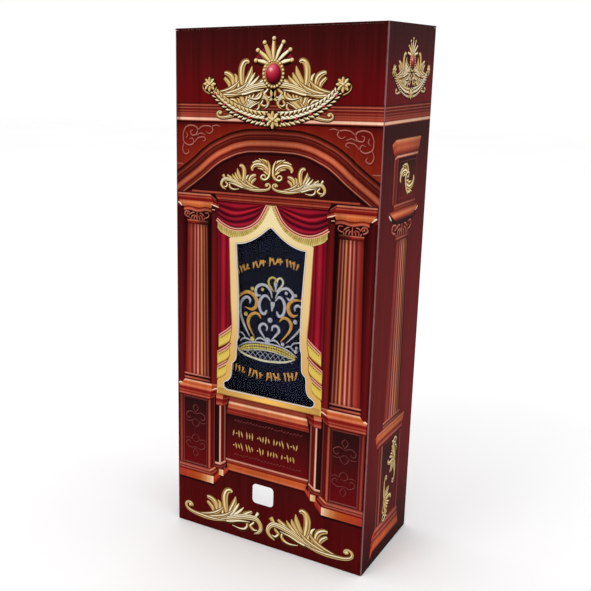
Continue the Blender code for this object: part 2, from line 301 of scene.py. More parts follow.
def lining():
    shader = Shader("mantle_lining", Roughness=0.7, Specular_IOR_Level=0.2)
    weave = shader.node("TexWave", Vector=shader.place(), Scale=900.0, Distortion=0.4).outputs["Fac"]
    shader.bump(weave, 0.05 * MM, 0.4)
    return shader.colour(shader.ramp(weave, [(0.0, "0b0c1c"), (1.0, "191b36")]))


def thread(name, stops):
    """Satin stitch: fine threads laid across the stroke, which its UV map runs along."""
    shader = Shader(name, Roughness=0.36, Specular_IOR_Level=0.6, Sheen_Weight=0.15, Sheen_Roughness=0.3)
    where = shader.node("UVMap").outputs[0]
    laid = shader.node("TexWave", {"bands_direction": "Y"}, Vector=where, Scale=0.9, Distortion=0.6,
                       Detail_Scale=2.0).outputs["Fac"]
    uneven = shader.noise(shader.place((420, 420, 420)), detail=2)
    tone = shader.math("MULTIPLY_ADD", laid, 0.55, shader.math("MULTIPLY", uneven, 0.45))
    shader.bump(laid, 0.12 * MM, 0.6)
    return shader.colour(shader.ramp(tone, stops))


def turned_wood():
    """Pale beech with rings round the turning and fine upright pores."""
    shader = Shader("roller_beech", Roughness=0.38, Specular_IOR_Level=0.4, Coat_Weight=0.25,
                    Coat_Roughness=0.2)
    rings = shader.noise(shader.place((60, 60, 7)), scale=2.0, detail=4)
    pores = shader.noise(shader.place((1500, 1500, 60)), detail=2)
    tone = shader.math("MULTIPLY_ADD", pores, 0.3, shader.math("MULTIPLY", rings, 0.7))
    shader.bump(pores, 0.05 * MM, 0.4)
    return shader.colour(shader.ramp(tone, [(0.3, "8a5a30"), (0.5, "b98550"), (0.7, "d7a970")]))


def wound_paper():
    """Parchment-coloured paper: winding lines on the ends, and soft mottling on the sheet."""
    shader = Shader("parchment_paper", Roughness=0.8, Specular_IOR_Level=0.2)
    where = shader.node("SeparateXYZ", Vector=shader.node("TexCoord").outputs["Object"]).outputs
    roller = 43 * MM
    from_axis = shader.math("SUBTRACT", shader.math("ABSOLUTE", where[0]), roller)
    radius = shader.math("SQRT", shader.math("ADD", shader.math("POWER", from_axis, 2.0),
                                             shader.math("POWER", where[1], 2.0)))
    winding = shader.math("SINE", shader.math("MULTIPLY", radius, 2 * math.pi / (0.55 * MM)))
    mottle = shader.noise(shader.place((45, 45, 45)), detail=5, rough=0.65)
    tone = shader.math("MULTIPLY_ADD", winding, 0.09, mottle)
    shader.bump(winding, 0.08 * MM, 0.5)
    return shader.colour(shader.ramp(tone, [(0.3, "c7a878"), (0.5, "dec49a"), (0.7, "ecd9b6")]))


def floor_paint():
    shader = Shader("pale_floor", Roughness=0.75, Specular_IOR_Level=0.15)
    mottle = shader.noise(shader.place((1.5, 1.5, 1.5)), detail=3)
    return shader.colour(shader.ramp(mottle, [(0.3, "fdfdfd"), (0.7, "ffffff")]))

# ---------------------------------------- printed artwork

# Each face takes (across, down from the carton's top, height over the board), in millimetres
FACES = {
    "front": lambda u, d, lift: (u, -HALF_DEPTH - lift, HEIGHT - d),
    "right": lambda u, d, lift: (HALF_WIDTH + lift, u, HEIGHT - d),
    "left": lambda u, d, lift: (-HALF_WIDTH - lift, u, HEIGHT - d),
    "back": lambda u, d, lift: (-u, HALF_DEPTH + lift, HEIGHT - d),
    "lid": lambda u, d, lift: (u, HALF_DEPTH - d, HEIGHT + lift),
}
LIGHT = np.array([-0.45, -0.89])  # where the painted light comes from, on the face


class Artwork:
    """Flat printed shapes on one face: x from its left or front fold, and d from its top."""

    def __init__(self, name, face="front", body="carton"):
        self.name, self.face, self.body = name, face, body
        self.middle = HALF_DEPTH if face in ("left", "right") else HALF_WIDTH
        self.points, self.paints, self.faces, self.count = [], [], [], 0

    def grid(self, x, d, paint, level, mirror=False, grain=0.0):
        """A sheet of quads through rows and columns of points, with a colour at each."""
        x, d = np.broadcast_arrays(np.asarray(x, float), np.asarray(d, float))
        rows, columns = x.shape
        index = np.arange(rows * columns).reshape(rows, columns)
        quads = np.stack([index[:-1, :-1], index[1:, :-1], index[1:, 1:], index[:-1, 1:]],
                         axis=-1).reshape(-1, 4)
        for side in (1, -1) if mirror else (1,):
            self._add(side * (x - self.middle), d, paint, quads, level, grain)

    def fill(self, outline, level, stops, hole=None, grain=0.0, mirror=False):
        """A flat shape, with one hole at most, painted from its (d, hex) stops."""
        loops = [np.asarray(outline, float)] + ([] if hole is None else [np.asarray(hole, float)])
        points = np.vstack(loops)
        found = tessellate_polygon([[Vector((a, b, 0)) for a, b in loop] for loop in loops])
        paint = ramp(stops, points[:, 1])
        for side in (1, -1) if mirror else (1,):
            self._add(side * (points[:, 0] - self.middle), points[:, 1], paint, np.array(found), level,
                      grain)

    def _add(self, u, d, paint, faces, level, grain):
        flat = np.stack([u.ravel(), -d.ravel()], axis=-1)
        corners = flat[faces]
        after = np.roll(corners, -1, axis=1)
        area = (corners[..., 0] * after[..., 1] - after[..., 0] * corners[..., 1]).sum(axis=1)
        faces = faces[np.abs(area) > 1e-7]
        area = area[np.abs(area) > 1e-7]
        turned = area < 0 if self.face != "left" else area > 0
        faces = np.where(turned[:, None], faces[:, ::-1], faces)
        place = FACES[self.face](u, d, level * LAYER)
        self.points.append(np.stack(np.broadcast_arrays(*place), axis=-1).reshape(-1, 3))
        paint = np.broadcast_to(paint, (*u.shape, 3)).reshape(-1, 3)
        grain = np.broadcast_to(grain, u.shape).reshape(-1, 1)
        self.paints.append(np.hstack([INK_STRENGTH * linear(paint), grain]))
        self.faces += (faces + self.count).tolist()
        self.count += u.size

    def stroke(self, path, widths, level, stops, ridges=0, mirror=False, base=0.42, relief=0.6):
        """A tapered stroke painted as a rounded leaf or thread, with long ridges if asked, lit from LIGHT."""
        path = np.asarray(path, float)
        columns = 9 if not ridges else 8 * ridges + 5
        half = spread(widths, len(path))[:, None] / 2
        t = np.linspace(-1, 1, columns)[None, :]
        for side in (1, -1) if mirror else (1,):
            mine = path if side == 1 else path * [-1, 1] + [2 * self.middle, 0]
            across = normals(mine)
            slope = 0.95 * t
            if ridges:
                slope = 0.5 * t + 0.75 * np.sin(math.pi * ridges * t)
            facing = (across @ LIGHT)[:, None]
            tone = base + relief * slope * facing + 0.2 * (1 - t**2) - 0.16 * t**6
            place = mine[:, None, :] + across[:, None, :] * (half * t)[..., None]
            self.grid(place[..., 0], place[..., 1], ramp(stops, np.clip(tone, 0, 1)), level)

    def shadow(self, path, widths, level, text, mirror=False, drop=(0.0, 0.0)):
        """The dark outline or cast shade under a stroke."""
        path = np.asarray(path, float)
        for side in (1, -1) if mirror else (1,):
            mine = path if side == 1 else path * [-1, 1] + [2 * self.middle, 0]
            mine = mine + drop
            across = normals(mine) * (spread(widths, len(path)) / 2)[:, None]
            both = np.stack([mine - across, mine + across], axis=1)
            self.grid(both[..., 0], both[..., 1], srgb(text), level)

    def bead(self, centre, radius, level, stops, mirror=False, squash=1.0):
        ring, turn = np.meshgrid(np.linspace(0, 1, 6), np.linspace(0, 2 * math.pi, 19))
        x, y = ring * np.cos(turn), ring * np.sin(turn)
        for side in (1, -1) if mirror else (1,):
            at = centre[0] if side == 1 else 2 * self.middle - centre[0]
            tone = 0.2 + 0.45 * np.sqrt(np.maximum(1 - ring**2, 0)) + 0.5 * (x * LIGHT[0] + y * LIGHT[1])
            paint = ramp(stops, np.clip(tone, 0, 1))
            self.grid(at + radius * x, centre[1] + radius * squash * y, paint, level)

    def course(self, rows, left, right, level, mirror=True, ends=((0, 1.0), (1, 1.0)), dip=0.0, grain=0.8):
        """A level moulding: (d, hex) rows between left and right, each an x or a (first, last) pair."""
        depth = np.array([row[0] for row in rows], float)
        paint = np.array([srgb(row[1]) for row in rows])[:, None, :]
        share = np.array([item[0] for item in ends], float)
        tone = np.array([item[1] for item in ends], float)[None, :, None]
        low, high = (self.along(edge, depth)[:, None] for edge in (left, right))
        x = low + (high - low) * share
        d = depth[:, None] + dip * np.cos(2 * math.pi * (share - 0.5) * 1.6)[None, :]
        self.grid(x, d, np.clip(paint * tone, 0, 1), level, mirror, grain)

    @staticmethod
    def along(edge, depth):
        """An edge that runs straight from its x in the first row to its x in the last."""
        first, last = edge if isinstance(edge, tuple) else (edge, edge)
        return first + (last - first) * (depth - depth[0]) / max(depth[-1] - depth[0], 1e-9)

    def returned(self, rows, corner, reach, rise, level, mirror=True, tone=(0.78, 0.62, 0.62)):
        """The mitred return of a course: it leaves its corner at a slant, in the shade."""
        depth = np.array([row[0] for row in rows], float)
        paint = np.array([srgb(row[1]) for row in rows])[:, None, :] * np.array(tone)
        start = self.along(corner, depth)[:, None]
        x = start + self.along(reach, depth)[:, None] * np.array([[0, 1.0]])
        d = depth[:, None] + self.along(rise, depth)[:, None] * np.array([[0, 1.0]])
        self.grid(x, d, np.clip(paint, 0, 1), level, mirror, 0.8)

    def posts(self, stops, top, foot, level, left=None, right=None, mirror=True, grain=0.8,
              fade=((0, 1.0), (1, 1.0))):
        """Upright members: (x, hex) stops, or shares between slanting left and right edges."""
        place = np.array([stop[0] for stop in stops], float)[None, :]
        paint = np.array([srgb(stop[1]) for stop in stops])[None, :, :]
        share = np.array([item[0] for item in fade], float)[:, None]
        tone = np.array([item[1] for item in fade], float)[:, None, None]
        x = place + 0 * share
        if left is not None:
            low, high = left[0] + (left[1] - left[0]) * share, right[0] + (right[1] - right[0]) * share
            x = low + (high - low) * place
        d = top + (foot - top) * share + 0 * place
        self.grid(x, d, np.clip(paint * tone, 0, 1), level, mirror, grain)

    def build(self, material):
        mesh = bpy.data.meshes.new(self.name)
        mesh.from_pydata((np.vstack(self.points) * MM).tolist(), [], self.faces)
        paint = np.vstack(self.paints).astype(np.float32)
        mesh.color_attributes.new("paint", "FLOAT_COLOR", "POINT").data.foreach_set("color", paint.ravel())
        return add_piece(self.name, mesh, material, self.body)


def add_piece(name, mesh, material, body="carton", smooth=False):
    mesh.materials.append(material)
    if smooth:
        mesh.shade_smooth()
    obj = bpy.data.objects.new(name, mesh)
    bpy.context.scene.collection.objects.link(obj)
    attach(obj, body)
    return obj


# ---------------------------------------- ornament

# A motif is a list of (points, widths, ridges) strokes, back to front, in millimetres at its full size.
# SPRAY: an acanthus spray on a level stem, with a volute at its left end and a curled tip at its right.
SPRAY = [
    ([(-10, 12), (-12, 6), (-15.5, 2.5), (-18.3, 0.4)], (2, 4.8, 4.4, 3), 2),
    ([(-6, 11), (-7, 3), (-10, -2), (-15, -4.6), (-18.6, -4.8)], (3, 6, 6.4, 5, 3), 2),
    ([(-4, 12), (-2, 5), (-3, -1), (-5.6, -4.6)], (3, 4.6, 4.4, 1), 1),
    ([(0, 11), (1, 7), (-0.6, 1.6)], (3, 4, 0.8), 1),
    ([(6, 12), (10, 2), (14, -7), (15.4, -14)], (3, 5.6, 5.6, 0.8), 2),
    ([(6, 10), (3.5, 0), (2.8, -10), (4.8, -16.6), (8.6, -19), (11.4, -17.6)], (3, 7, 7.6, 6.6, 5.2, 3), 2),
    ([(8, 13), (14, 4), (18, -3), (19.6, -7.6)], (3, 5, 4.6, 0.8), 1),
    ([(8, 14), (16, 6.5), (22, 0.4), (25, -4.6)], (3, 5, 4.6, 0.8), 1),
    ([(10, 15), (20, 8), (28, 2), (34.4, -2.6)], (3, 5.6, 6.4, 2.6), 2),
    ([(36, 5), (39.6, 1.4), (42.4, -2.6)], (3, 4, 5.4), 1),
    ([(38, 5), (36.4, 10), (33.4, 13.6), (36.6, 17.4), (41, 16.4)], (2, 3, 3.6, 3.4, 1), 1),
    ([(-9, 18), (6, 13.5), (18, 8.5), (29, 5.4), (38.6, 4.6), (43.6, 8.4), (45, 14), (42, 18.6), (37.4, 21)],
     (2.5, 5, 6, 6.4, 6, 5, 4.4, 3, 0.6), 3),
    ([(12, 19), (21, 20.5), (27, 19), (29.5, 15), (28.5, 11), (25.8, 12)], (0.8, 2.6, 3.6, 3.2, 2.4, 1.8),
     1),
    ([(-8, 18), (8, 16.4), (20, 12.4), (32, 9.6)], (2, 3.4, 3.4, 0.8), 1),
    ([(-30, 17), (-16, 14), (-6, 9), (1, 2)], (1, 3.6, 4.4, 1), 2),
    ([(-30, 18), (-14, 16.6), (2, 11), (12, 3)], (1, 4, 4.4, 1), 2),
    ([(-37.8, 12), (-36.2, 10), (-37.5, 8), (-40.5, 7.3), (-43.7, 9), (-44.2, 12.4), (-41.6, 15.4),
      (-36, 17.4), (-28, 18.3), (-18, 18.8), (-8, 18.2), (5, 16)], (1.6, 2, 2.4, 2.8, 3, 3.2, 3.4, 3.8, 4.6,
                                                                    4.6, 3.6, 0.8), 2),
]
SPRAY_BUD = ((-38.8, 10.8), 2.3)

# SCROLL_LEAF: a leaf that arches over from a volute at its foot.
SCROLL_LEAF = [
    ([(6, -3), (1, -6.3), (-4, -7), (-8.3, -5.4)], (1.4, 2.7, 2.7, 2), 0),
    ([(7, -4), (3, -7), (-2.2, -9.9)], (1.4, 2.6, 0.7), 0),
    ([(7.6, -5), (5, -7.6), (0.8, -9.4)], (1.4, 2.4, 0.7), 0),
    ([(5.4, 0.6), (1, -0.5), (-3.2, -1.3)], (2.4, 2, 0.6), 0),
    ([(9.4, 3.6), (7, 0), (3, -3.5), (-2, -4.7), (-6.5, -4), (-9, -1.4), (-8.4, 1.2)],
     (2, 4.6, 4.6, 4.2, 3.8, 3.2, 1.6), 2),
    ([(7, 4), (4.6, 2.2), (2.8, 1.2)], (2, 2.2, 0.6), 0),
    ([(5, 6.6), (3.9, 5), (1.6, 5.1), (0.7, 7.2), (2.8, 9), (6, 8.5), (8.5, 6), (9.3, 1.5), (8.6, -4),
      (6.8, -8.4)],
     (1.4, 1.6, 1.9, 2.2, 2.5, 2.7, 2.9, 3, 2.4, 0.8), 1),
]


def placed(points, at=(0, 0), turn=0.0, scale=1.0, flip=1):
    """A motif's points, mirrored if flip is -1, then scaled, turned clockwise and moved."""
    c, s = math.cos(math.radians(turn)), math.sin(math.radians(turn))
    return (np.asarray(points, float) * [flip * scale, scale]) @ np.array([[c, s], [-s, c]]) + at


def ornament(art, motif, level, stops=GOLD, outline="1c0404", mirror=False, **place):
    """Lays a motif's strokes over each other, each with its dark outline."""
    scale = place.get("scale", 1.0)
    for order, (points, widths, ridges) in enumerate(motif):
        path = placed(curve(points, 6), **place)
        wide = [w * scale for w in widths]
        under = [w + 0.9 * min(1.0, scale * 1.6) for w in wide]
        if outline:
            art.shadow(path, [w + 0.5 for w in under], level, outline, mirror, drop=(0.25, 0.45))
        art.shadow(path, under, level + 0.5 + 0.5 * order, "6a4118", mirror)
        art.stroke(path, wide, level + 0.75 + 0.5 * order, stops, ridges, mirror)


def spray(art, level, mirror=False, **place):
    ornament(art, SPRAY, level, mirror=mirror, **place)
    scale = place.get("scale", 1.0)
    centre = placed([SPRAY_BUD[0]], **place)[0]
    art.bead(centre, SPRAY_BUD[1] * scale, level + 9, GOLD, mirror)


def marks(art, left, right, baseline, height, level, stops, seed):
    """A row of plain slanted strokes and dots in groups, where a line of lettering stands."""
    draw = random.Random(seed)
    x = left
    while x < right - 2:
        for _ in range(draw.randint(3, 5)):
            lean = draw.uniform(-0.9, 0.9)
            tall = height * draw.choice((0.62, 0.8, 1.0))
            top = baseline - height * 0.5 - tall / 2
            if draw.random() < 0.2:
                art.bead((x + 0.8, baseline - height / 2), 0.9, level, stops)
            else:
                path = curve([(x + lean, top), (x + 0.5, top + tall * 0.5), (x + 0.6 - lean, top + tall)], 5)
                art.stroke(path, (0.5, 1.7, 0.5), level, stops)
            x += 3.1
            if x > right - 2:
                break
        x += 2.6

# ---------------------------------------- the front's artwork

MIDDLE = HALF_WIDTH
DARK = "240606"

# The big arch: points of its outer edge, from the left fold up to the middle
ARCH = [(-9, 139), (0, 132), (10, 125), (20, 117.6), (30, 109.4), (40, 102.6), (50, 97.8), (60, 93.7),
        (70, 91.2), (80, 89.7), (MIDDLE, 89)]
ARCH_BANDS = [(-0.9, DARK), (0, "2c0907"), (0.9, "3a0e0a"), (1.4, "64200f"), (2.4, "6a2218"), (3, "8e4230"),
              (3.7, "8a3426"), (4.4, "56150f"), (5.4, "420d0b"), (6, "7c2c20"), (6.8, "4a0f0c"),
              (7.6, "661a14"), (8.4, "3c0b09"), (9.2, "5c1610"), (9.8, "963e28"), (10.8, "b85a3c"),
              (12.4, "c86c4c"), (13.6, "b85838"), (14.4, "9a3c28"), (15, "601410"), (16.4, "641712"),
              (17.2, "86301f"), (17.8, "56120e"), (18.6, "6e2018"), (19.1, "c98068"), (19.7, "9a4636"),
              (20.2, "340908"), (22.4, "1a0405")]


def cornice_rows():
    return [(66.4, "3c0a0b"), (67.2, "4a100e"), (68, "7c2a20"), (68.6, "b8604a"), (69.3, "6a1a14"),
            (70.5, "54100d"), (71.1, "b05a46"), (71.8, "5c1411"), (73.4, "701c15"), (74, "a04634"),
            (74.7, "541110"), (75.7, "822e22"), (76.3, "ac4e3c"), (77, "641812"), (77.8, "a54634"),
            (78.6, "963a2a"), (79.7, "7a2b20"), (80.3, "eeb398"), (81.7, "f6c8aa"), (82.5, "c8795c"),
            (83, "4a0f0d"), (84.6, "300809")]


def front_cornice():
    art = Artwork("print_front_cornice")
    ends = [(0, 0.8), (0.02, 0.8), (0.025, 1.08), (0.2, 1.0), (0.5, 0.92), (0.8, 1.02), (1, 1.1)]
    art.course(cornice_rows(), FOLD, WIDTH - FOLD, 1, mirror=False, ends=ends)
    return art


def front_arch():
    art = Artwork("print_front_arch")
    outer = curve(ARCH, 7)
    # spandrels, redder and lighter towards the arch
    keep = outer[outer[:, 0] >= 0]
    x = np.concatenate([[FOLD], keep[keep[:, 0] > FOLD][:, 0]])
    low = np.interp(x, outer[:, 0], outer[:, 1])
    share = np.linspace(0, 1, 9)[:, None]
    wall = ramp([(0, "3a0c0c"), (0.14, "6a130d"), (0.6, "761a10"), (0.86, "7c2014"), (1, "862a1a")], share)
    art.grid(x[None, :] + 0 * share, 84 + (low - 84) * share, wall, 1, mirror=True, grain=1.0)
    for points, widths in SPANDREL_SCROLL:
        path = curve(points, 7)
        art.shadow(path, [w + 0.7 for w in widths], 1.6, "54100f", mirror=True, drop=(0.2, 0.35))
        art.stroke(path, widths, 2, [(0, "7a2c24"), (0.6, "a85c50"), (1, "c08878")], mirror=True)
    art.course([(123, "6e1a14"), (123.6, "b06a58"), (124.4, "5a1210")], FOLD, 8, 1.8)
    # tympanum
    inner = outer + normals(outer) * 19.6
    inner = inner[(inner[:, 1] < 149) & (inner[:, 0] > FOLD) & (inner[:, 0] < MIDDLE - 0.5)]
    edge = np.vstack([inner, [(MIDDLE + 0.05, inner[-1, 1])]])
    share = np.linspace(0, 1, 12)[:, None]
    x = edge[:, 0][None, :] + 0 * share
    d = edge[:, 1] + (149 - edge[:, 1]) * share
    glow = np.clip(1 - np.hypot((x - MIDDLE) / 62, (d - 134) / 26), 0, 1)
    art.grid(x, d, ramp([(0, "340a0b"), (0.45, "500d0f"), (1, "6a0e13")], glow), 1.4, mirror=True, grain=0.8)
    # the arch itself
    offset = np.array([band[0] for band in ARCH_BANDS])[:, None]
    across = normals(outer)
    x = outer[:, 0] + across[:, 0] * offset
    d = outer[:, 1] + across[:, 1] * offset
    paint = np.array([srgb(band[1]) for band in ARCH_BANDS])[:, None, :]
    lit = 0.86 + 0.22 * np.exp(-(((outer[:, 0] - 45) / 28) ** 2))
    x, d = np.clip(x, FOLD, MIDDLE), np.minimum(d, 150)
    art.grid(x, d, np.clip(paint * lit[None, :, None], 0, 1), 2, mirror=True, grain=0.8)
    return art


SPANDREL_SCROLL = [
    ([(8, 96), (11, 89.5), (18, 87.5), (24, 90), (23, 95.5), (18, 96.5), (16.5, 93), (19, 91.8)],
     (1, 1.4, 1.5, 1.3, 0.6)),
    ([(8, 96), (9, 103), (15, 106), (20, 103.5), (18.5, 99.5), (15, 100.5)], (1, 1.4, 1.4, 1.1, 0.5)),
    ([(24, 92), (30, 88), (38, 88), (41, 91.5), (37.5, 94.5), (33.5, 92.8)], (0.8, 1.3, 1.4, 1.1, 0.5)),
    ([(20, 104), (25, 99), (31, 98), (33, 100.5), (30, 102)], (0.7, 1.2, 1.1, 0.5)),
    ([(9, 104), (7.5, 110), (10.5, 114.5), (14.5, 112.5), (13, 109.5)], (0.7, 1.2, 1.2, 0.5)),
    ([(38, 89), (44, 86.8), (49, 87.6)], (0.6, 1.1, 0.5)),
    ([(23, 96.5), (28, 94.5), (33, 96)], (0.6, 1.2, 0.5)),
    ([(11, 99.5), (13, 97), (12, 93.5)], (0.5, 1.2, 0.5)),
]


def front_entablature():
    art = Artwork("print_front_entablature")
    rows = [(147.2, DARK), (147.8, "4a100c"), (148.3, "a84c36"), (149.3, "9a4230"), (149.9, "3e0c09"),
            (150.5, "5c120e"), (151.5, "8e3022"), (152.4, "64170f"), (153.3, "9a3e2c"), (154, "b05440"),
            (154.6, "5a100c"), (155.5, "6e1a13"), (156, "8c3226"), (156.7, "380a0a")]
    ends = [(0, 1.0), (0.3, 1.04), (0.5, 0.95), (0.7, 1.04), (1, 1.0)]
    art.course(rows, 18, WIDTH - 18, 3, mirror=False, ends=ends)
    # the blocks that break forward over the columns
    art.fill([(1.2, 150.4), (44, 150.4), (48, 158), (44, 168), (8, 168), (1.2, 161.5)], 3.6,
             [(150, DARK), (168, DARK)],
             mirror=True)
    rows = [(150.9, "340a07"), (151.5, "b8745c"), (152.3, "ca7050"), (153, "66140e"), (153.7, "801d17"),
            (154.6, "b25440"), (155.3, "801c15"), (156.6, "781310"), (158.1, "6e110f")]
    ends = [(0, 0.72), (0.03, 1.0), (0.35, 1.02), (0.7, 0.98), (1, 1.1)]
    art.course(rows, 1.8, (38.5, 41), 4.4, ends=ends)
    art.returned(rows, (38.5, 41), (6, 5.5), (4.2, 2.4), 4)
    rows = [(158.1, "a0442a"), (159.4, "cc6a44"), (160.3, "dc7e50"), (161.4, "c66730"), (163.2, "bc5c34"),
            (164.6, "9a3c22"), (165, "48100a")]
    art.course(rows, (2, 8.6), (41.4, 39), 4.6, ends=[(0, 0.95), (0.3, 1.0), (0.6, 1.06), (0.9, 0.9), (1,
                                                                                                       1.0)])
    art.returned(rows[:4], (41.4, 41), (7, 5.5), (2.6, 1.6), 4.2, tone=(0.72, 0.55, 0.55))
    art.stroke([(40, 160.4), (43, 161.6), (47.5, 162.8)], (0.6, 1.4, 0.8), 5, PEACH, mirror=True, base=0.7)
    art.stroke([(2, 160.4), (3.6, 161.4), (6.5, 164)], (1.4, 2, 0.8), 5, PEACH, mirror=True, base=0.75)
    art.stroke([(40.4, 165.4), (43.6, 165.6)], (0.8, 1), 5, PEACH, mirror=True)
    rows = [(164.2, "3a0a08"), (165, "7a1e14"), (166, "a84632"), (167.2, "c06850"), (167.9, "8a3424"),
            (168.5, DARK)]
    shares = np.linspace(0, 1, 17)
    art.course(rows, 8.6, 39.6, 4.8, ends=[(s, 1.06 - 0.5 * max(0, s - 0.45)) for s in shares], dip=0.8)
    return art


SHAFT = [(0, "5c1512"), (0.04, "7c1e17"), (0.13, "902c22"), (0.2, "a0403a"), (0.27, "560c08"),
         (0.33, "8e3a2e"), (0.36, "cc7666"), (0.4, "983a2c"), (0.43, "4c0a06"), (0.475, "a84a3e"),
         (0.5, "ec9c8a"), (0.53, "c25f50"), (0.57, "560d07"), (0.62, "8c3c24"), (0.655, "d8905f"),
         (0.685, "b4633c"), (0.72, "460906"), (0.755, "70301f"), (0.78, "b8745c"), (0.8, "8c4231"),
         (0.84, "440b07"), (0.88, "6c2c20"), (0.905, "94523f"), (0.93, "581b13"), (0.96, "320907"),
         (1, "200506")]
CAPITAL_LEAVES = [
    ([(16.2, 172.4), (13.4, 174.6), (9.8, 172.4), (11, 169.4), (14.6, 169.6), (15, 172), (13, 172.2)],
     (1.3, 1.9, 1.5, 1.2)),
    ([(30.6, 172.4), (33.4, 174.4), (36.8, 172.4), (36, 169.4), (32.6, 169.6)], (0.8, 1.4, 1.1, 0.8)),
    ([(16, 176.6), (15, 173.5), (18, 170.4), (20.6, 170)], (1.2, 1.8, 1.2)),
    ([(17.6, 176.8), (18, 173.6), (21.4, 172.2)], (1.2, 1.6, 0.8)),
    ([(23.6, 176.8), (23.6, 173.6), (23.6, 169.4)], (1.4, 2, 1)),
    ([(20.4, 176.8), (20.8, 174.4), (22.4, 172.6)], (1.2, 1.7, 0.8)),
    ([(26.8, 176.8), (26.2, 174.4), (24.8, 172.6)], (1.2, 1.7, 0.8)),
    ([(30, 176.8), (29, 173.6), (26.4, 171.8)], (1, 1.6, 0.8)),
    ([(31.4, 176.6), (31.6, 173.4), (28.6, 170.4), (26.6, 170)], (1, 1.6, 1)),
]


def front_columns():
    art = Artwork("print_front_columns")
    wall = [(1.2, "260607"), (2.4, "4c0c0d"), (5, "5e1013"), (8, "480c0e"), (11, "300708"), (14, DARK),
            (35.4, DARK), (38.8, "180405"), (39.8, "2a0607"), (40.8, "641316"), (43, "741618"),
            (44.4, "62110f"), (46, "5a1512"), (47.4, "280607")]
    art.posts(wall, 165, 341.6, 2.6, fade=[(0, 0.75), (0.12, 0.85), (0.5, 1.05), (1, 1.1)])
    art.posts([(0, DARK), (1, DARK)], 168, 178, 3, left=(9.6, 13), right=(38.4, 36.4))
    for points, widths in CAPITAL_LEAVES:
        path = curve(points, 6)
        art.shadow(path, [w + 0.7 for w in widths], 3.4, "120303", mirror=True)
        art.stroke(path, widths, 4, CARVED, mirror=True, base=0.5)
    art.bead((12.8, 171.6), 1.4, 4.4, CARVED, mirror=True)
    art.course([(176.6, "5a150f"), (177.2, "c07058"), (178.1, "8e2e1e"), (179.4, "701812"),
                (180.9, "4a0c08")],
               (12.6, 13.2), (36.2, 36), 4, ends=[(0, 0.95), (0.45, 1.05), (0.6, 0.7), (1, 0.4)])
    fade = [(0, 0.8), (0.04, 1.0), (0.3, 0.94), (0.6, 0.97), (0.97, 1.06), (1, 0.9)]
    art.posts(SHAFT, 180.4, 334.4, 3.4, left=(12.8, 9), right=(36.6, 39.3), fade=fade, grain=0.5)
    base = [(333.4, "8a4030"), (334.2, "cc7c64"), (335, "a84e3c"), (335.6, "220504"), (336.8, "160303"),
            (337.3, "70281c"), (338, "b8624f"), (338.9, "9a4638"), (339.5, "5e1210"), (341.4, "560d0b")]
    art.course(base, 8.2, 39, 4, ends=[(0, 0.8), (0.05, 1.1), (0.5, 1.0), (0.9, 0.85), (1, 0.5)])
    return art


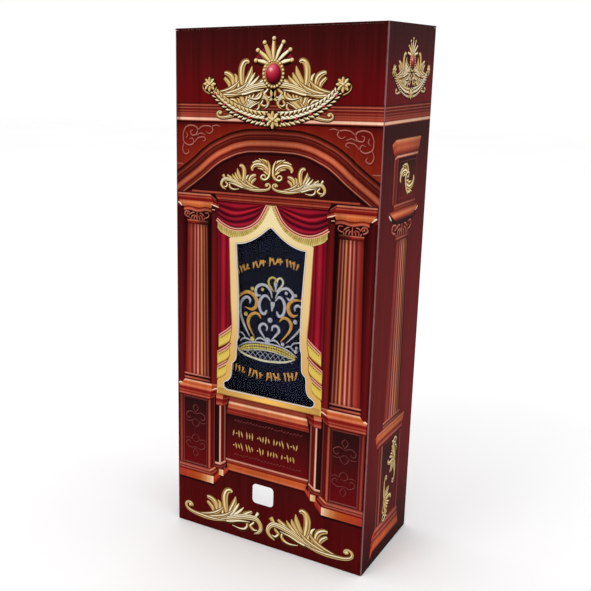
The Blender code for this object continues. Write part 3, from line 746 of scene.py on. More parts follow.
def front_pedestals():
    art = Artwork("print_front_pedestals")
    posts = [(1.2, "200506"), (2, "2c0707"), (3, "701c16"), (4.4, "984034"), (5.3, "7e231b"),
             (6.5, "480b0a"), (7.3, "74302c"), (8.1, "5e2626"), (8.6, "280a0a"), (9.2, "30100f"),
             (20, "34100f"), (33.8, "380f10"), (34.6, "64282a"), (35.4, "4a1210"), (36.6, "5c0d09"),
             (37.2, "98432f"), (38.3, "b05a46"), (39.2, "7c2b1d"), (40, "480a09"), (41.5, "5e0f0e"),
             (43, "52100f"), (43.7, "703430"), (44.6, "3c0c0c")]
    art.posts(posts, 356, 436, 3, fade=[(0, 0.85), (0.3, 1.0), (0.9, 1.12), (1, 1.1)])
    x, share = np.array([[8.8, 34.4]]), np.linspace(0, 1, 10)[:, None]
    paint = ramp([(0, "28100f"), (0.3, "3a1011"), (0.7, "560d0f"), (1, "640c0e")], share + 0 * x)
    art.grid(x + 0 * share, 359.6 + 71.6 * share + 0 * x, paint, 3.4, mirror=True, grain=0.9)
    for d, text in ((359, "6c302c"), (431.4, "86403a")):
        art.course([(d - 1, "3a0b0a"), (d - 0.2, text), (d + 0.5, text), (d + 1.1, "2c0808")], 7.2, 35.6,
                   3.6)
    for centre, way in ((380, 1), (410, -1)):
        for points, widths in PANEL_SCROLL:
            path = curve([(21.7 + x, centre + way * y) for x, y in points], 6)
            art.stroke(path, widths, 3.8, INCISED, mirror=True, base=0.4)
            path = curve([(21.7 - x, centre + way * y) for x, y in points], 6)
            art.stroke(path, widths, 3.8, INCISED, mirror=True, base=0.4)
    cap = [(340.6, "8a3a26"), (341.2, "f4b898"), (342.2, "e8a07a"), (343, "c86436"), (345.4, "b8521f")]
    ends = [(0, 1.12), (0.06, 1.0), (0.4, 0.97), (0.8, 1.02), (1, 1.06)]
    art.course(cap, (9, 5.2), (40.4, 40.4), 4.4, ends=ends)
    art.returned(cap, (40.4, 40.4), (6.4, 6), (-0.6, -2), 4.2)
    cap = [(345, "b44e22"), (346.6, "d8764c"), (347.8, "d07250"), (349, "a03426"), (350, "781410"),
           (351.6, "861b15"), (352.6, "9c372a"), (353.3, "b04e3a"), (354, "6c120d"), (354.9, "9c3020"),
           (355.8, "c0604a"), (356.7, "a03c2c"), (357.5, "500e0b"), (358.4, "3a0a09")]
    art.course(cap, 1.8, (41, 37.6), 4.6, ends=[(0, 0.8), (0.04, 1.08), (0.4, 1.0), (0.8, 1.0), (1, 1.08)])
    art.returned(cap, (41, 37.6), (7.4, 6), (-2.6, -3.4), 4.4)
    art.stroke([(1.8, 346.6), (3.6, 345.6), (5.4, 345.8)], (1.6, 2.4, 1.2), 5, PEACH, mirror=True, base=0.75)
    art.stroke([(41, 347.2), (44.6, 345), (48.4, 344.2)], (0.7, 1.5, 1), 5, PEACH, mirror=True, base=0.7)
    base = [(433, "5a100e"), (434.6, "a04a3c"), (435.6, "b86454"), (436.6, "8e3a30"), (437.3, "4c0c09"),
            (438.3, "b8564a"), (439, "a04034"), (439.8, "66110d"), (440.7, "7c1a12")]
    art.course(base, 1.6, (37.6, 41.6), 4.4)
    art.returned(base, (37.6, 41.6), (7, 7), (-4.6, -6.6), 4.2, tone=(0.95, 0.8, 0.75))
    art.stroke([(38, 435.6), (41.6, 433.4), (45, 430.4)], (1.4, 2, 1.2), 4.8,
               [(0, "a04a2c"), (1, "f0a878")], mirror=True)
    plinth = ["b0382c", "b43c2a", "b4461f", "b85424", "d68a50", "f0bc8c", "ffdcb8"]
    x = np.array([[1.6, 8, 18, 27, 34, 39.6, 43]])
    row = np.array([440.5, 441.4, 447.6, 448.8])[:, None]
    tone = np.array([0.75, 1.0, 0.94, 1.06])[:, None, None]
    paint = np.array([srgb(text) for text in plinth])[None] * tone
    art.grid(x + 0 * row, row + 0 * x, np.clip(paint, 0, 1), 4.4, mirror=True, grain=0.9)
    side = [(440.5, "5a0f0c"), (441.6, "b03a24"), (446, "a83020"), (448.8, "7c1c12")]
    art.returned(side, 43, (6.6, 7.4), (-7, -8.4), 4.2, tone=(1, 1, 1))
    art.course([(448.6, "2a0606"), (449.8, "1c0405"), (451.6, "3c0c0e")], 1.6, (43.5, 45), 4)
    return art


PANEL_SCROLL = [
    ([(0, -14), (3, -10), (1, -6), (0, -4)], (0.5, 1.1, 0.9, 0.4)),
    ([(0, -3), (6, -5), (11, -2), (10, 2), (6.6, 2), (6.4, -0.6)], (0.5, 1.2, 1.2, 0.9, 0.4)),
    ([(0, 2), (4, 5), (3, 9), (0, 11)], (0.5, 1.1, 1, 0.4)),
    ([(3, 4), (8, 6), (12.4, 4.6)], (0.4, 1, 0.4)),
]


def front_panel():
    art = Artwork("print_front_panel")
    # small pilasters either side of the inscription
    posts = [(44.4, "4a1412"), (45, "160405"), (47, "2c0e10"), (49.2, "1a0505"), (49.7, "84503c"),
             (50.2, "eab8a0"), (51.1, "e8b098"), (51.6, "88382a"), (52.2, "600d0a"), (54.2, "6a100c"),
             (55.1, "460a08"), (55.8, "8c5848"), (56.6, "7a4a40"), (57.2, "220606"), (59, "340909"),
             (61, "2c0808")]
    art.posts(posts, 352, 431, 3, fade=[(0, 0.75), (0.15, 0.95), (1, 1.05)])
    cap = [(349.4, "70300c"), (350.2, "b8602e"), (352.4, "cc6e4a"), (353.6, "d8806a"), (354.5, "801a12"),
           (356.8, "8a1c16"), (358.2, "9c3428"), (359.6, "b8584a"), (361, "9c3c2c"), (361.6, "200505")]
    art.course(cap, (46, 46), (54, 53), 4.2)
    art.returned(cap[3:], (54, 53), (7, 5), (-3, -2.4), 4.4)
    base = [(423.4, "6a2a20"), (424, "f2c4ac"), (425.6, "c88068"), (426.1, "380806"), (427.3, "6c1a14"),
            (428.3, "904034"), (429.3, "5a0e0a"), (430.5, "7c1e14")]
    art.course(base, 45, (50.6, 52), 4)
    art.returned(base, (50.6, 52), (6.4, 5.6), (-4.4, -4.4), 4.2, tone=(0.95, 0.85, 0.85))
    x, row = np.array([[49.4, 51.8, 54.6]]), np.array([430.4, 431.2, 436.4, 437.2])[:, None]
    paint = np.array([srgb(text) for text in ("d8a060", "e4b472", "ffd8bc")])[None]
    tone = np.array([0.7, 1.0, 0.98, 0.9])[:, None, None]
    art.grid(x + 0 * row, row + 0 * x, np.clip(paint * tone, 0, 1), 4.6, mirror=True)
    art.returned([(430.4, "8a2018"), (433, "c04028"), (437.2, "a43020")], 54.6, (6.4, 6), (-6, -8), 4.4,
                 tone=(1, 1, 1))
    # the dark recess with its mouldings above and below
    x, row = np.array([[57, 60, MIDDLE, WIDTH - 60, WIDTH - 57]]), np.linspace(0, 1, 9)[:, None]
    paint = ramp([(0, "2c0c0d"), (0.25, "400e0f"), (0.7, "560c0e"), (1, "660b0d")], row + 0 * x)
    paint = paint * np.array([0.6, 1.0, 1.0, 1.0, 0.6])[None, :, None]
    art.grid(x + 0 * row, 368 + 48.4 * row + 0 * x, paint, 3.2, grain=1.0)
    top = [(349, "5a1a10"), (350.2, "7c2c20"), (352, "903e2e"), (353.7, "7a2a1e"), (354.6, "c07858"),
           (355.5, "fac4a4"), (356.7, "ecaa86"), (357.4, "c66a40"), (359, "ba5e34"), (360.8, "cc7452"),
           (361.8, "90281c"), (363.8, "7c1a13"), (365.2, "a5402e"), (366.1, "6e1410"), (367.2, "90332a"),
           (368.2, "300808"), (369.6, "1e0506")]
    ends = [(0, 0.9), (0.04, 1.0), (0.3, 0.96), (0.5, 1.0), (0.7, 1.02), (0.96, 1.04), (1, 0.92)]
    art.course(top, (62, 57.6), (WIDTH - 62, WIDTH - 57.6), 4, mirror=False, ends=ends)
    foot = [(415.4, "280606"), (416.2, "8a4034"), (416.8, "e09a88"), (417.8, "c87460"), (418.6, "5a100c"),
            (419.6, "9c3c2c"), (420.4, "6c1710"), (421.2, "802410"), (422.1, "c65a30"), (425, "ba5222"),
            (427.8, "cc6c48"), (428.7, "6a1c10"), (429.2, "240606"), (431, "3a0c0e")]
    art.course(foot, (57, 61.4), (WIDTH - 57, WIDTH - 61.4), 4.6, mirror=False, ends=ends)
    # incised lines and the inscription's place
    draw = random.Random(5)
    for row in (374.4, 410.4):
        for x in np.arange(67, 139, 3.4):
            path = curve([(x, row), (x + 1.6, row - draw.uniform(0.8, 2)),
                          (x + 3, row + draw.uniform(-1, 1))], 5)
            art.stroke(path, (0.5, 1.1, 0.4), 3.8, INCISED, base=0.35)
    marks(art, 66, 139.5, 390.6, 7.6, 4.4, INK_GOLD, 11)
    marks(art, 66, 139.5, 403.8, 7.6, 4.4, INK_GOLD, 23)
    return art


SWAG_EDGE = [(46.6, 172.6), (52, 176.2), (60, 179.6), (68, 180.4), (76, 178.9), (84, 175), (91, 168.4),
             (97.6, 156.6)]
FRINGE_EDGE = [(46.6, 182), (50, 185.6), (56, 188.4), (62, 190.2), (68, 190.2), (76, 188.4), (84, 184.4),
               (91, 179), (96.6, 170.4), (102.4, 157)]
# Folds of a swag from its top to its edge, as (share of the drop, sRGB hex)
SWAG_FOLDS = [(0, "3a0210"), (0.05, "5c0717"), (0.12, "a01a2c"), (0.19, "8a1226"), (0.25, "4a0512"),
              (0.32, "5e0a18"), (0.38, "c22334"), (0.43, "a81c2e"), (0.5, "500613"), (0.56, "3e0412"),
              (0.62, "8c1a28"), (0.68, "941a2a"), (0.74, "54081a"), (0.8, "3c0414"), (0.86, "8e1428"),
              (0.92, "a61c34"), (0.96, "6a0c1e"), (1, "38030e")]
CRIMSON_FOLDS = [(46.2, "3a060c"), (47, "5e0a18"), (48.6, "7c1022"), (50, "540a18"), (51.4, "8a1426"),
                 (53, "a61a2e"), (54.4, "9c182a"), (55.8, "78101e"), (57, "5a0a16"), (58.4, "8a1224"),
                 (59.6, "6e0c1c"), (62, "60101a")]
TRIM = [(0, "3c060a"), (0.25, "f0a890"), (1.1, "e89880"), (1.35, "6a1410"), (2.0, "7c1a14"), (2.3, "f2b49a"),
        (3.1, "e6a68a"), (3.4, "7c5a28")]


def offset_bands(art, path, bands, level, mirror=True, way=1):
    """Stripes that run beside a path, as (distance, hex)."""
    path = np.asarray(path, float)
    offset = np.array([band[0] for band in bands])[:, None]
    across = normals(path) * way
    paint = np.array([srgb(band[1]) for band in bands])[:, None, :]
    x, d = path[:, 0] + across[:, 0] * offset, path[:, 1] + across[:, 1] * offset
    art.grid(x, d, paint, level, mirror)


def front_curtains():
    art = Artwork("print_front_curtains")
    # side drapes
    fade = [(0, 0.62), (0.1, 0.9), (0.35, 1.05), (0.7, 0.95), (0.93, 1.06), (1, 0.8)]
    art.posts(CRIMSON_FOLDS, 156, 296, 3, grain=0.0, fade=fade)
    # swags
    low = resample(curve(SWAG_EDGE, 8), 60)
    top = np.stack([np.linspace(46.6, 97.6, 60), np.full(60, 156.2)], axis=-1)
    share = np.linspace(0, 1, 90)[:, None, None]
    place = top + (low - top) * share
    across = np.linspace(0, 1, 60)[None, :]
    drift = share[..., 0] + 0.035 * np.sin(2.6 * math.pi * across + 5 * share[...,
        0]) * np.sin(math.pi * share[..., 0])
    paint = ramp(SWAG_FOLDS, np.clip(drift, 0, 1))
    lit = 0.62 + 0.42 * np.sin(math.pi * (0.1 + 0.84 * across)) ** 0.8
    art.grid(place[..., 0], place[..., 1], np.clip(paint * lit[..., None], 0, 1), 4, mirror=True)
    # fringe
    high, deep = resample(curve(SWAG_EDGE, 8), 241), resample(curve(FRINGE_EDGE, 8), 241)
    share = np.linspace(0, 1, 6)[:, None]
    x = high[:, 0] + (deep[:, 0] - high[:, 0]) * share
    d = high[:, 1] + (deep[:, 1] - high[:, 1]) * share
    draw = np.random.default_rng(3)
    knots = np.interp(np.arange(241), np.arange(0, 241, 2), draw.uniform(0.1, 0.9, 121))
    thread_tone = 0.25 + 0.5 * knots + 0.16 * np.sin(np.arange(241) * 0.9)
    tone = np.clip(thread_tone[None, :] + np.array([-0.35, -0.1, 0.05, 0.02, 0.1, 0.3])[:, None], 0, 1)
    threads = ramp([(0, "5c4a1c"), (0.35, "94803c"), (0.6, "bfa658"), (0.85, "dcc67c"), (1, "f0dc9c")], tone)
    art.grid(x, d, threads, 4.6, mirror=True)
    trim = resample(curve(SWAG_EDGE, 8), 90)
    offset_bands(art, trim, TRIM, 5)
    return art


# The gold border's outer edge, left half, from the middle of the top down to the middle of the foot
BORDER = [(MIDDLE, 156.4), (98, 167), (92, 176), (84, 183), (74, 188), (60, 190.4)]
BORDER_SIDE = [(59.6, 191), (60.4, 215), (61.6, 250), (63.2, 277), (61.4, 292), (60.6, 300), (61.2, 306),
               (59.6, 311), (57, 315.6), (57.2, 325), (53.6, 330), (47.8, 333.4)]
BORDER_GOLD = [(156, "f0e0ac"), (176, "f4e0aa"), (200, "eccb90"), (260, "ecc78a"), (285, "e2b878"),
               (310, "dfae62"), (330, "e0ae5c"), (343, "dca852"), (349, "e2b468")]


def front_border():
    art = Artwork("print_front_border")
    half = np.vstack([curve(BORDER, 6), curve(BORDER_SIDE, 6), [(47, 336), (46.8, 349), (MIDDLE, 349)]])
    half = np.vstack([resample(half[:-2], 200), half[-2:]])
    low = np.linspace(46.8, MIDDLE, 24)[1:-1]
    half = np.vstack([half[:-1], np.stack([low, np.full(22, 349.0)], axis=-1)])
    outline = np.vstack([half, (half * [-1, 1] + [WIDTH, 0])[::-1][:-1]])
    window = window_half()
    window = np.vstack([window, (window * [-1, 1])[::-1][1:-1]]) + [MIDDLE, 0]
    art.fill(outline, 5.4, BORDER_GOLD, hole=window)
    # a soft shade round both edges, and the paler foot of the frame
    art.shadow(resample(curve(BORDER_SIDE, 6), 120), (0.5, 0.9, 0.9, 0.5), 5.6, "a8783c", mirror=True)
    foot = [(342.4, "b8823a"), (343.2, "dca550"), (345.5, "e4b05a"), (348, "dfac58"), (349.2, "8a5620")]
    ends = [(0, 0.86), (0.2, 0.94), (0.38, 1.08), (0.5, 1.14), (0.62, 1.08), (0.8, 0.96), (1, 0.86)]
    art.course(foot, 48, WIDTH - 48, 5.5, mirror=False, ends=ends, grain=0)
    right = window_half()
    rim = right[right[:, 0] > 0.01] + [MIDDLE, 0]
    for side in (1, -1):
        path = rim if side == 1 else rim * [-1, 1] + [WIDTH, 0]
        across = normals(path) * side * -1
        steps = np.array([0.0, 0.55, 0.75, 1.3])[:, None]
        paint = np.array([srgb(text) for text in ("dfe4ee", "eeeef0", "b99560", "d8ae6c")])[:, None, :]
        x, d = path[:, 0] - across[:, 0] * steps, path[:, 1] - across[:, 1] * steps
        art.grid(x, d, paint, 5.8)
    return art


TIERS = [
    # (trim from, trim to, the gold body's lower edge from its inner end out)
    ([(64.4, 274), (58.6, 279.6), (48.6, 287.4)], [(60.4, 293), (56, 296.4), (48.4, 301)]),
    ([(61.4, 293), (55.6, 298.6), (46.8, 304.6)], [(61.2, 306.6), (57.4, 312), (47.2, 318.6)]),
    ([(57.4, 312.4), (53, 315.6), (46.8, 319.6)], [(57.2, 325.6), (53.6, 330), (46.8, 333.6)]),
]


def front_tiebacks():
    art = Artwork("print_front_tiebacks")
    for order, (upper, lower) in enumerate(TIERS):
        high, deep = resample(curve(upper, 8), 40), resample(curve(lower, 8), 40)
        share = np.linspace(0, 1, 8)[:, None]
        x = high[:, 0] + (deep[:, 0] - high[:, 0]) * share
        d = high[:, 1] + (deep[:, 1] - high[:, 1]) * share
        paint = ramp([(0, "8a6a20"), (0.2, "c8a440"), (0.55, "dcc058"), (0.85, "e6c460"), (1, "9a7428")],
                     share + 0 * x)
        lit = 1 + 0.05 * np.sin(np.arange(40) * 1.7)
        art.grid(x, d, np.clip(paint * lit[None, :, None], 0, 1), 4 + order, mirror=True)
        offset_bands(art, high, TRIM, 4.5 + order, way=-1)
        for at in resample(high, 40)[6:-3:4]:
            art.bead(at + [0.6, 4.6], 0.55, 4.7 + order, [(0, "3a2408"), (1, "5c4414")], mirror=True)
    return art


# The gilded crest: a jewel in a bead ring under a shell, wings of acanthus, and a hung garland
GARLAND = [(37, 50), (48, 62), (64, 72), (84, 78.4), (MIDDLE, 80.4)]
SHELL = [(-76, 14.5), (-50, 16.5), (-25, 17.5), (0, 18.5), (25, 17.5), (50, 16.5), (76, 14.5)]


def crest(art, middle, top, scale, level):
    """The crest about its own middle line; top is the d of its highest point."""
    def at(x, d):
        return middle + x * scale, top + d * scale

    def laid(points):
        return [at(x, d) for x, d in points]

    def wide(widths):
        return [w * scale for w in widths]

    for way in (-1, 1):
        for x, d, turn, size in ((-35, 33, 4, 0.82), (-33, 52, -14, 0.6)):
            spray(art, level, at=at(way * x * -1, d), turn=turn * -way, scale=size * scale, flip=-way)
        # garland of overlapping leaves with berries
        line = resample(curve(GARLAND, 8) - [MIDDLE, 12], 17) * [way, 1]
        ahead = np.gradient(line, axis=0)
        ahead /= np.linalg.norm(ahead, axis=1)[:, None]
        for order, (point, step) in enumerate(zip(line[1:], ahead[1:])):
            swell = 1.0 + 0.75 * order / 15
            side = np.array([-step[1], step[0]])
            for lean in (1, -1, 0):
                tip = point - step * (4.6 if lean else 6) * swell + side * lean * 3.6 * swell
                path = curve(laid([point + step * 1.5, (point + tip) / 2 + side * lean * 1.1, tip]), 4)
                art.shadow(path, wide((2.6, 4.4 * swell, 1.3)), level + 9 + order * 0.9 + 0.2 * (lean == 0),
                           "3a1408")
                art.stroke(path, wide((1.6, 3.4 * swell, 0.4)),
                           level + 9.2 + order * 0.9 + 0.2 * (lean == 0), GOLD, 1)
        for point in line[2::3]:
            art.bead(at(point[0], point[1] + 1.8), 1.5 * scale, level + 25, RUBY)
        rosette(art, at(way * 65.5, 38), 6.4 * scale, level + 25)
    rosette(art, at(0, 68.4), 7.6 * scale, level + 27)
    # shell, with a crimson ground behind its blades
    fan = [at(19.5 * math.sin(t), 23 - 18.5 * math.cos(t)) for t in np.linspace(-1.35, 1.35, 25)] + [at(6,
        24), at(-6, 24)]
    art.fill(fan, level + 9.5, [(top, "5c0a1c"), (top + 12 * scale, "a01a34"), (top + 24 * scale, "5c0a1c")])
    for turn, reach in sorted(SHELL, key=lambda blade: -abs(blade[0])):
        c, s = math.cos(math.radians(turn)), math.sin(math.radians(turn))
        foot, tip = (0.0 + 4 * s, 22 - 4 * c), (s * reach * 1.25, 22 - c * reach * 1.22)
        path = curve(laid([foot, ((foot[0] + tip[0]) / 2, (foot[1] + tip[1]) / 2), tip]), 6)
        art.shadow(path, wide((3, 6.6, 4.6)), level + 10, "2a0a04")
        art.stroke(path, wide((2, 5.2, 3.2)), level + 10.5 + 0.2 * (turn == 0), GOLD, 1)
        art.bead(at(*tip), 2.1 * scale, level + 11, GOLD)
    # jewel
    centre = at(0, 29)
    art.bead(centre, 11.4 * scale, level + 28, [(0, "3a1a08"), (0.4, "8a5a24"), (1, "e0b870")], squash=1.14)
    for turn in np.linspace(0, 2 * math.pi, 23)[:-1]:
        point = (centre[0] + 9.6 * scale * math.cos(turn), centre[1] + 11.2 * scale * math.sin(turn))
        art.bead(point, 1.35 * scale, level + 29, GOLD)
    art.bead(centre, 7.6 * scale, level + 29.5, RUBY, squash=1.2)
    art.bead((centre[0] - 2.4 * scale, centre[1] - 3.4 * scale), 1.9 * scale, level + 30,
             [(0, "d05060"), (1, "ffd8d8")])


def rosette(art, centre, radius, level):
    art.bead(centre, radius * 1.12, level, [(0, "2a0c04"), (1, "4a2410")])
    for layer, (count, reach) in enumerate(((8, 1.0), (6, 0.66))):
        for turn in np.arange(count) * 2 * math.pi / count + 0.4 * layer:
            way = np.array([math.cos(turn), math.sin(turn)])
            path = curve([centre + way * radius * 0.14, centre + way * radius * 0.6 * reach,
                          centre + way * radius * reach], 4)
            art.stroke(path, (radius * 0.2, radius * 0.56 * reach, radius * 0.24),
                       level + 0.4 + layer * 0.4, GOLD)
    art.bead(centre, radius * 0.24, level + 1.6, GOLD)


def front_gilding():
    art = Artwork("print_front_gilding")
    spray(art, 3, mirror=True, at=(76.4, 133), scale=0.57, flip=-1)
    ornament(art, SCROLL_LEAF, 10, mirror=True, at=(92, 125))
    spray(art, 3, mirror=True, at=(54, 470))
    return art


def front_crest():
    art = Artwork("print_front_crest")
    crest(art, MIDDLE, 12, 1.0, 3)
    return art


def front_label():
    art = Artwork("print_front_label")
    turn = np.linspace(0, 2 * math.pi, 49)[:-1]
    corner = np.stack([np.sign(np.cos(turn)) * 7.4 + 4.2 * np.cos(turn),
                       np.sign(np.sin(turn)) * 6.2 + 4.2 * np.sin(turn)], axis=-1)
    art.fill(corner + [100.4, 446], 6, [(435, "fdfdfd"), (457, "f2f2f4")])
    return art

# ---------------------------------------- sides, back and lid


def side_artwork(face):
    """One narrow side: x runs from its front fold to its back one."""
    art = Artwork(f"print_{face}_side", face)
    back = DEPTH - FOLD
    art.course(cornice_rows(), FOLD, back, 1, mirror=False, ends=[(0, 0.95), (0.5, 0.9), (1, 0.82)])
    # the block above the column
    block = [(28, "2c0808"), (29, "7a2a20"), (30.4, "a04a38"), (31.6, "5c1410"), (37, "6a1814"),
             (38, "8a3a2c"), (39, "3c0c0a"), (41, "2a0808")]
    art.posts(block, 112, 152, 2, mirror=False)
    art.posts([(84.6, "2a0808"), (85.6, "6a201a"), (87, "4a100e"), (88, "200505")], 112, 152, 2,
              mirror=False)
    panel(art, 41, 85, 113.4, 151, 2.2)
    cap = [(96, "3c0c0a"), (97, "d08860"), (98.6, "c06a44"), (101, "a84c30"), (104, "b85a3a"),
           (107, "8c3424"), (109.6, "5c1410"), (111, "e0a084"), (112, "a05a44"), (112.6, "2c0808")]
    art.course(cap, (30, 36), (95, 88), 3, mirror=False, ends=[(0, 1.05), (0.5, 1.0), (1, 0.8)])
    art.returned(cap, (30, 36), (-8.6, -5), (3.6, 1.4), 2.8, mirror=False, tone=(1.0, 0.82, 0.8))
    # mouldings under the block
    rows = [(152, "2c0808"), (153, "8c3c2e"), (154, "a85a46"), (155, "5c1512"), (156.6, "86301f"),
            (158, "4a0f0c")]
    art.course(rows, 33, 88, 3, mirror=False, ends=[(0, 1.1), (0.5, 1.0), (1, 0.8)])
    art.fill([(24, 158), (96, 158), (92, 168), (80, 172), (44, 172), (30, 168)], 2.4,
             [(158, DARK), (172, DARK)])
    rows = [(158, "6c1a14"), (160.4, "b45434"), (162, "d27a50"), (164, "b85634"), (166, "7c281a"),
            (168, "3a0c09")]
    art.course(rows, (22, 40), (97, 84), 3.4, mirror=False, ends=[(0, 1.08), (0.5, 1.0), (1, 0.85)])
    art.stroke([(22.6, 161), (25, 163), (29, 166)], (1.8, 2, 0.8), 4, PEACH, base=0.75)
    art.stroke([(96.4, 161), (94, 162.6), (90.6, 164.6)], (1.2, 1.6, 0.8), 4, PEACH, base=0.6)
    # column
    for points, widths in CAPITAL_LEAVES:
        path = curve([(36 + (x - 12) * 1.8, 170.6 + (d - 168.6) * 1.5) for x, d in points], 6)
        art.shadow(path, [w * 1.5 + 0.6 for w in widths], 3.2, "120303")
        art.stroke(path, [w * 1.5 for w in widths], 3.6, CARVED, base=0.5)
    art.course([(183, "5a150f"), (184, "b0604c"), (185.4, "6c1a12"), (187, "3c0a08")], (42, 43), (76, 75),
               3.8,
               mirror=False, ends=[(0, 1.0), (0.5, 0.95), (1, 0.6)])
    art.posts(SHAFT, 186.6, 358.4, 3.4, left=(43, 37), right=(75, 78.4), mirror=False, grain=0.5,
              fade=[(0, 0.8), (0.05, 0.95), (0.5, 0.88), (1, 0.96)])
    base = [(358, "8a4030"), (359, "cc7c64"), (360, "8a3c2e"), (360.8, "1c0403"), (362.4, "9a5040"),
            (364, "7c2c22"), (365.6, "4c100d")]
    art.course(base, 36, 80, 3.8, mirror=False, ends=[(0, 1.05), (0.5, 0.95), (1, 0.7)])
    # pedestal
    rows = [(365, "7c281a"), (366, "c87a5c"), (368, "a04a34"), (370, "c46a3c"), (373, "b05030"),
            (374, "6c1a14"), (376.4, "90362a"), (378, "b0604e"), (379.6, "5a120f"), (381.6, "340a09")]
    art.course(rows, (23, 30), (95, 88), 4, mirror=False, ends=[(0, 1.05), (0.5, 1.0), (1, 0.8)])
    art.returned(rows, (23, 30), (-4, -4), (2.4, 1.4), 3.8, mirror=False, tone=(1.0, 0.85, 0.8))
    posts = [(28.6, "220606"), (29.4, "5c1a14"), (31, "9a4434"), (32, "5c120f"), (35, "54100e"),
             (36.4, "8c4434"), (38.6, "a05a46"), (39.6, "3c0c0a"), (41.4, "2a0808")]
    art.posts(posts, 380, 469, 3, mirror=False)
    art.posts([(79.4, "2a0808"), (81, "4a100e"), (85.4, "5c1814"), (86.6, "8c4434"), (87.6, "4a100e"),
               (88.4, "200505")],
              380, 469, 3, mirror=False)
    panel(art, 41, 80, 384, 466, 3.2)
    rows = [(464, "5a100e"), (466, "a04a3c"), (468, "b8645a"), (470, "6c1a14"), (472, "8c3226"),
            (474, "b0584a"), (476, "5c100d"), (478, "b0482c"), (482, "c46034"), (486, "a8442a"),
            (487.4, "3c0a09")]
    art.course(rows, (30, 26), (88, 95), 4, mirror=False, ends=[(0, 1.1), (0.5, 1.0), (1, 0.8)])
    art.returned(rows, (30, 26), (-7, -7), (5, 6), 3.8, mirror=False, tone=(1.15, 0.8, 0.75))
    # gilding
    ornament(art, SCROLL_LEAF, 5, at=(55.6, 129.6), turn=-20, scale=1.12)
    ornament(art, SCROLL_LEAF, 9, at=(70.4, 135.4), turn=160, scale=1.12)
    spray(art, 5, at=(58.6, 442), turn=90, scale=0.53)
    spray(art, 16, at=(65.6, 409), turn=-90, scale=0.53)
    return art


def panel(art, left, right, top, foot, level):
    """A sunk panel with a thin lit line round it."""
    x, row = np.array([[left, left + 1.4, (left + right) / 2, right - 1.4, right]]), np.linspace(0, 1, 8)[:,
        None]
    paint = ramp([(0, "260809"), (0.3, "3a0c0e"), (1, "5a0e10")], row + 0 * x)
    paint = paint * np.array([0.5, 1.0, 1.12, 1.0, 0.7])[None, :, None]
    art.grid(x + 0 * row, top + (foot - top) * row + 0 * x, paint, level, grain=1.0)
    ring = [(left + 2.6, top + 2.6), (right - 2.6, top + 2.6), (right - 2.6, foot - 2.6),
            (left + 2.6, foot - 2.6), (left + 2.6, top + 2.6)]
    for a, b in zip(ring, ring[1:]):
        art.shadow(np.linspace(a, b, 4), (0.5, 0.5), level + 0.6, "6a2c24")


def side_crest(face):
    art = Artwork(f"print_{face}_crest", face)
    crest(art, HALF_DEPTH, 13, 0.66, 3)
    return art


def back_artwork():
    """The back repeats the cornice over a plain moulded frame, with the foot's acanthus."""
    art = Artwork("print_back", "back")
    art.course(cornice_rows(), FOLD, WIDTH - FOLD, 1, mirror=False, ends=[(0, 0.95), (0.5, 1.0), (1, 0.95)])
    x, row = np.array([[26, 30, MIDDLE, WIDTH - 30, WIDTH - 26]]), np.linspace(0, 1, 12)[:, None]
    paint = ramp([(0, "3a0c0e"), (0.5, "4c0e10"), (1, "5a0e10")], row + 0 * x)
    paint = paint * np.array([0.6, 1.0, 1.1, 1.0, 0.7])[None, :, None]
    art.grid(x + 0 * row, 104 + 320 * row + 0 * x, paint, 1, grain=1.0)
    moulding = [(0, "2c0808"), (1, "a04e3a"), (2.4, "d28a68"), (3.6, "8c3424"), (5, "5c1410"), (7, "9a4430"),
                (8.4, "c0704e"), (9.6, "6c1c14"), (11, "2a0707")]
    art.course([(99 + step, text) for step, text in moulding], (22, 31), (WIDTH - 22, WIDTH - 31), 2,
               mirror=False)
    art.course([(429 - step, text) for step, text in moulding[::-1]], (31, 22), (WIDTH - 31, WIDTH - 22), 2,
               mirror=False)
    depth = np.array([[99.0, 110], [264, 264], [429, 418]])
    share = np.array([step / 11 for step, _ in moulding])
    paint = np.array([srgb(text) for _, text in moulding])[None]
    x = 22 + 11 * share[None, :] + np.zeros((3, 1))
    d = depth[:, :1] + (depth[:, 1:] - depth[:, :1]) * share
    art.grid(x, d, paint, 1.8, mirror=True, grain=0.8)
    spray(art, 3, mirror=True, at=(54, 470))
    spray(art, 3, mirror=True, at=(72, 290), scale=0.6, flip=-1)
    spray(art, 3, mirror=True, at=(72, 246), scale=0.6, flip=-1, turn=180)
    rosette(art, (MIDDLE, 268), 9, 13)
    return art


def lid_artwork():
    """The lid: a thin moulded line just inside its edges and a small gilt rosette."""
    art = Artwork("print_lid", "lid", "lid")
    for inset, text in ((7, "8c4434"), (9.4, "5c1a16")):
        ring = [(inset, inset), (WIDTH - inset, inset), (WIDTH - inset, DEPTH - inset),
                (inset, DEPTH - inset), (inset, inset)]
        for a, b in zip(ring, ring[1:]):
            art.shadow(np.linspace(a, b, 4), (0.9, 0.9), 1, text)
    rosette(art, (MIDDLE, HALF_DEPTH), 8, 2)
    spray(art, 2, mirror=True, at=(70, 62), scale=0.55, flip=-1)
    return art

# ---------------------------------------- the dressed scroll

ROLLER = 43.0  # distance of each roller's axis from the middle
MANTLE_LOW, MANTLE_HIGH = [corner.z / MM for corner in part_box("scroll_mantle")]
MANTLE_HALF_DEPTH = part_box("scroll_mantle")[1].y / MM
CLOTH = 1.6
HANDLE_HOLE = 13.0


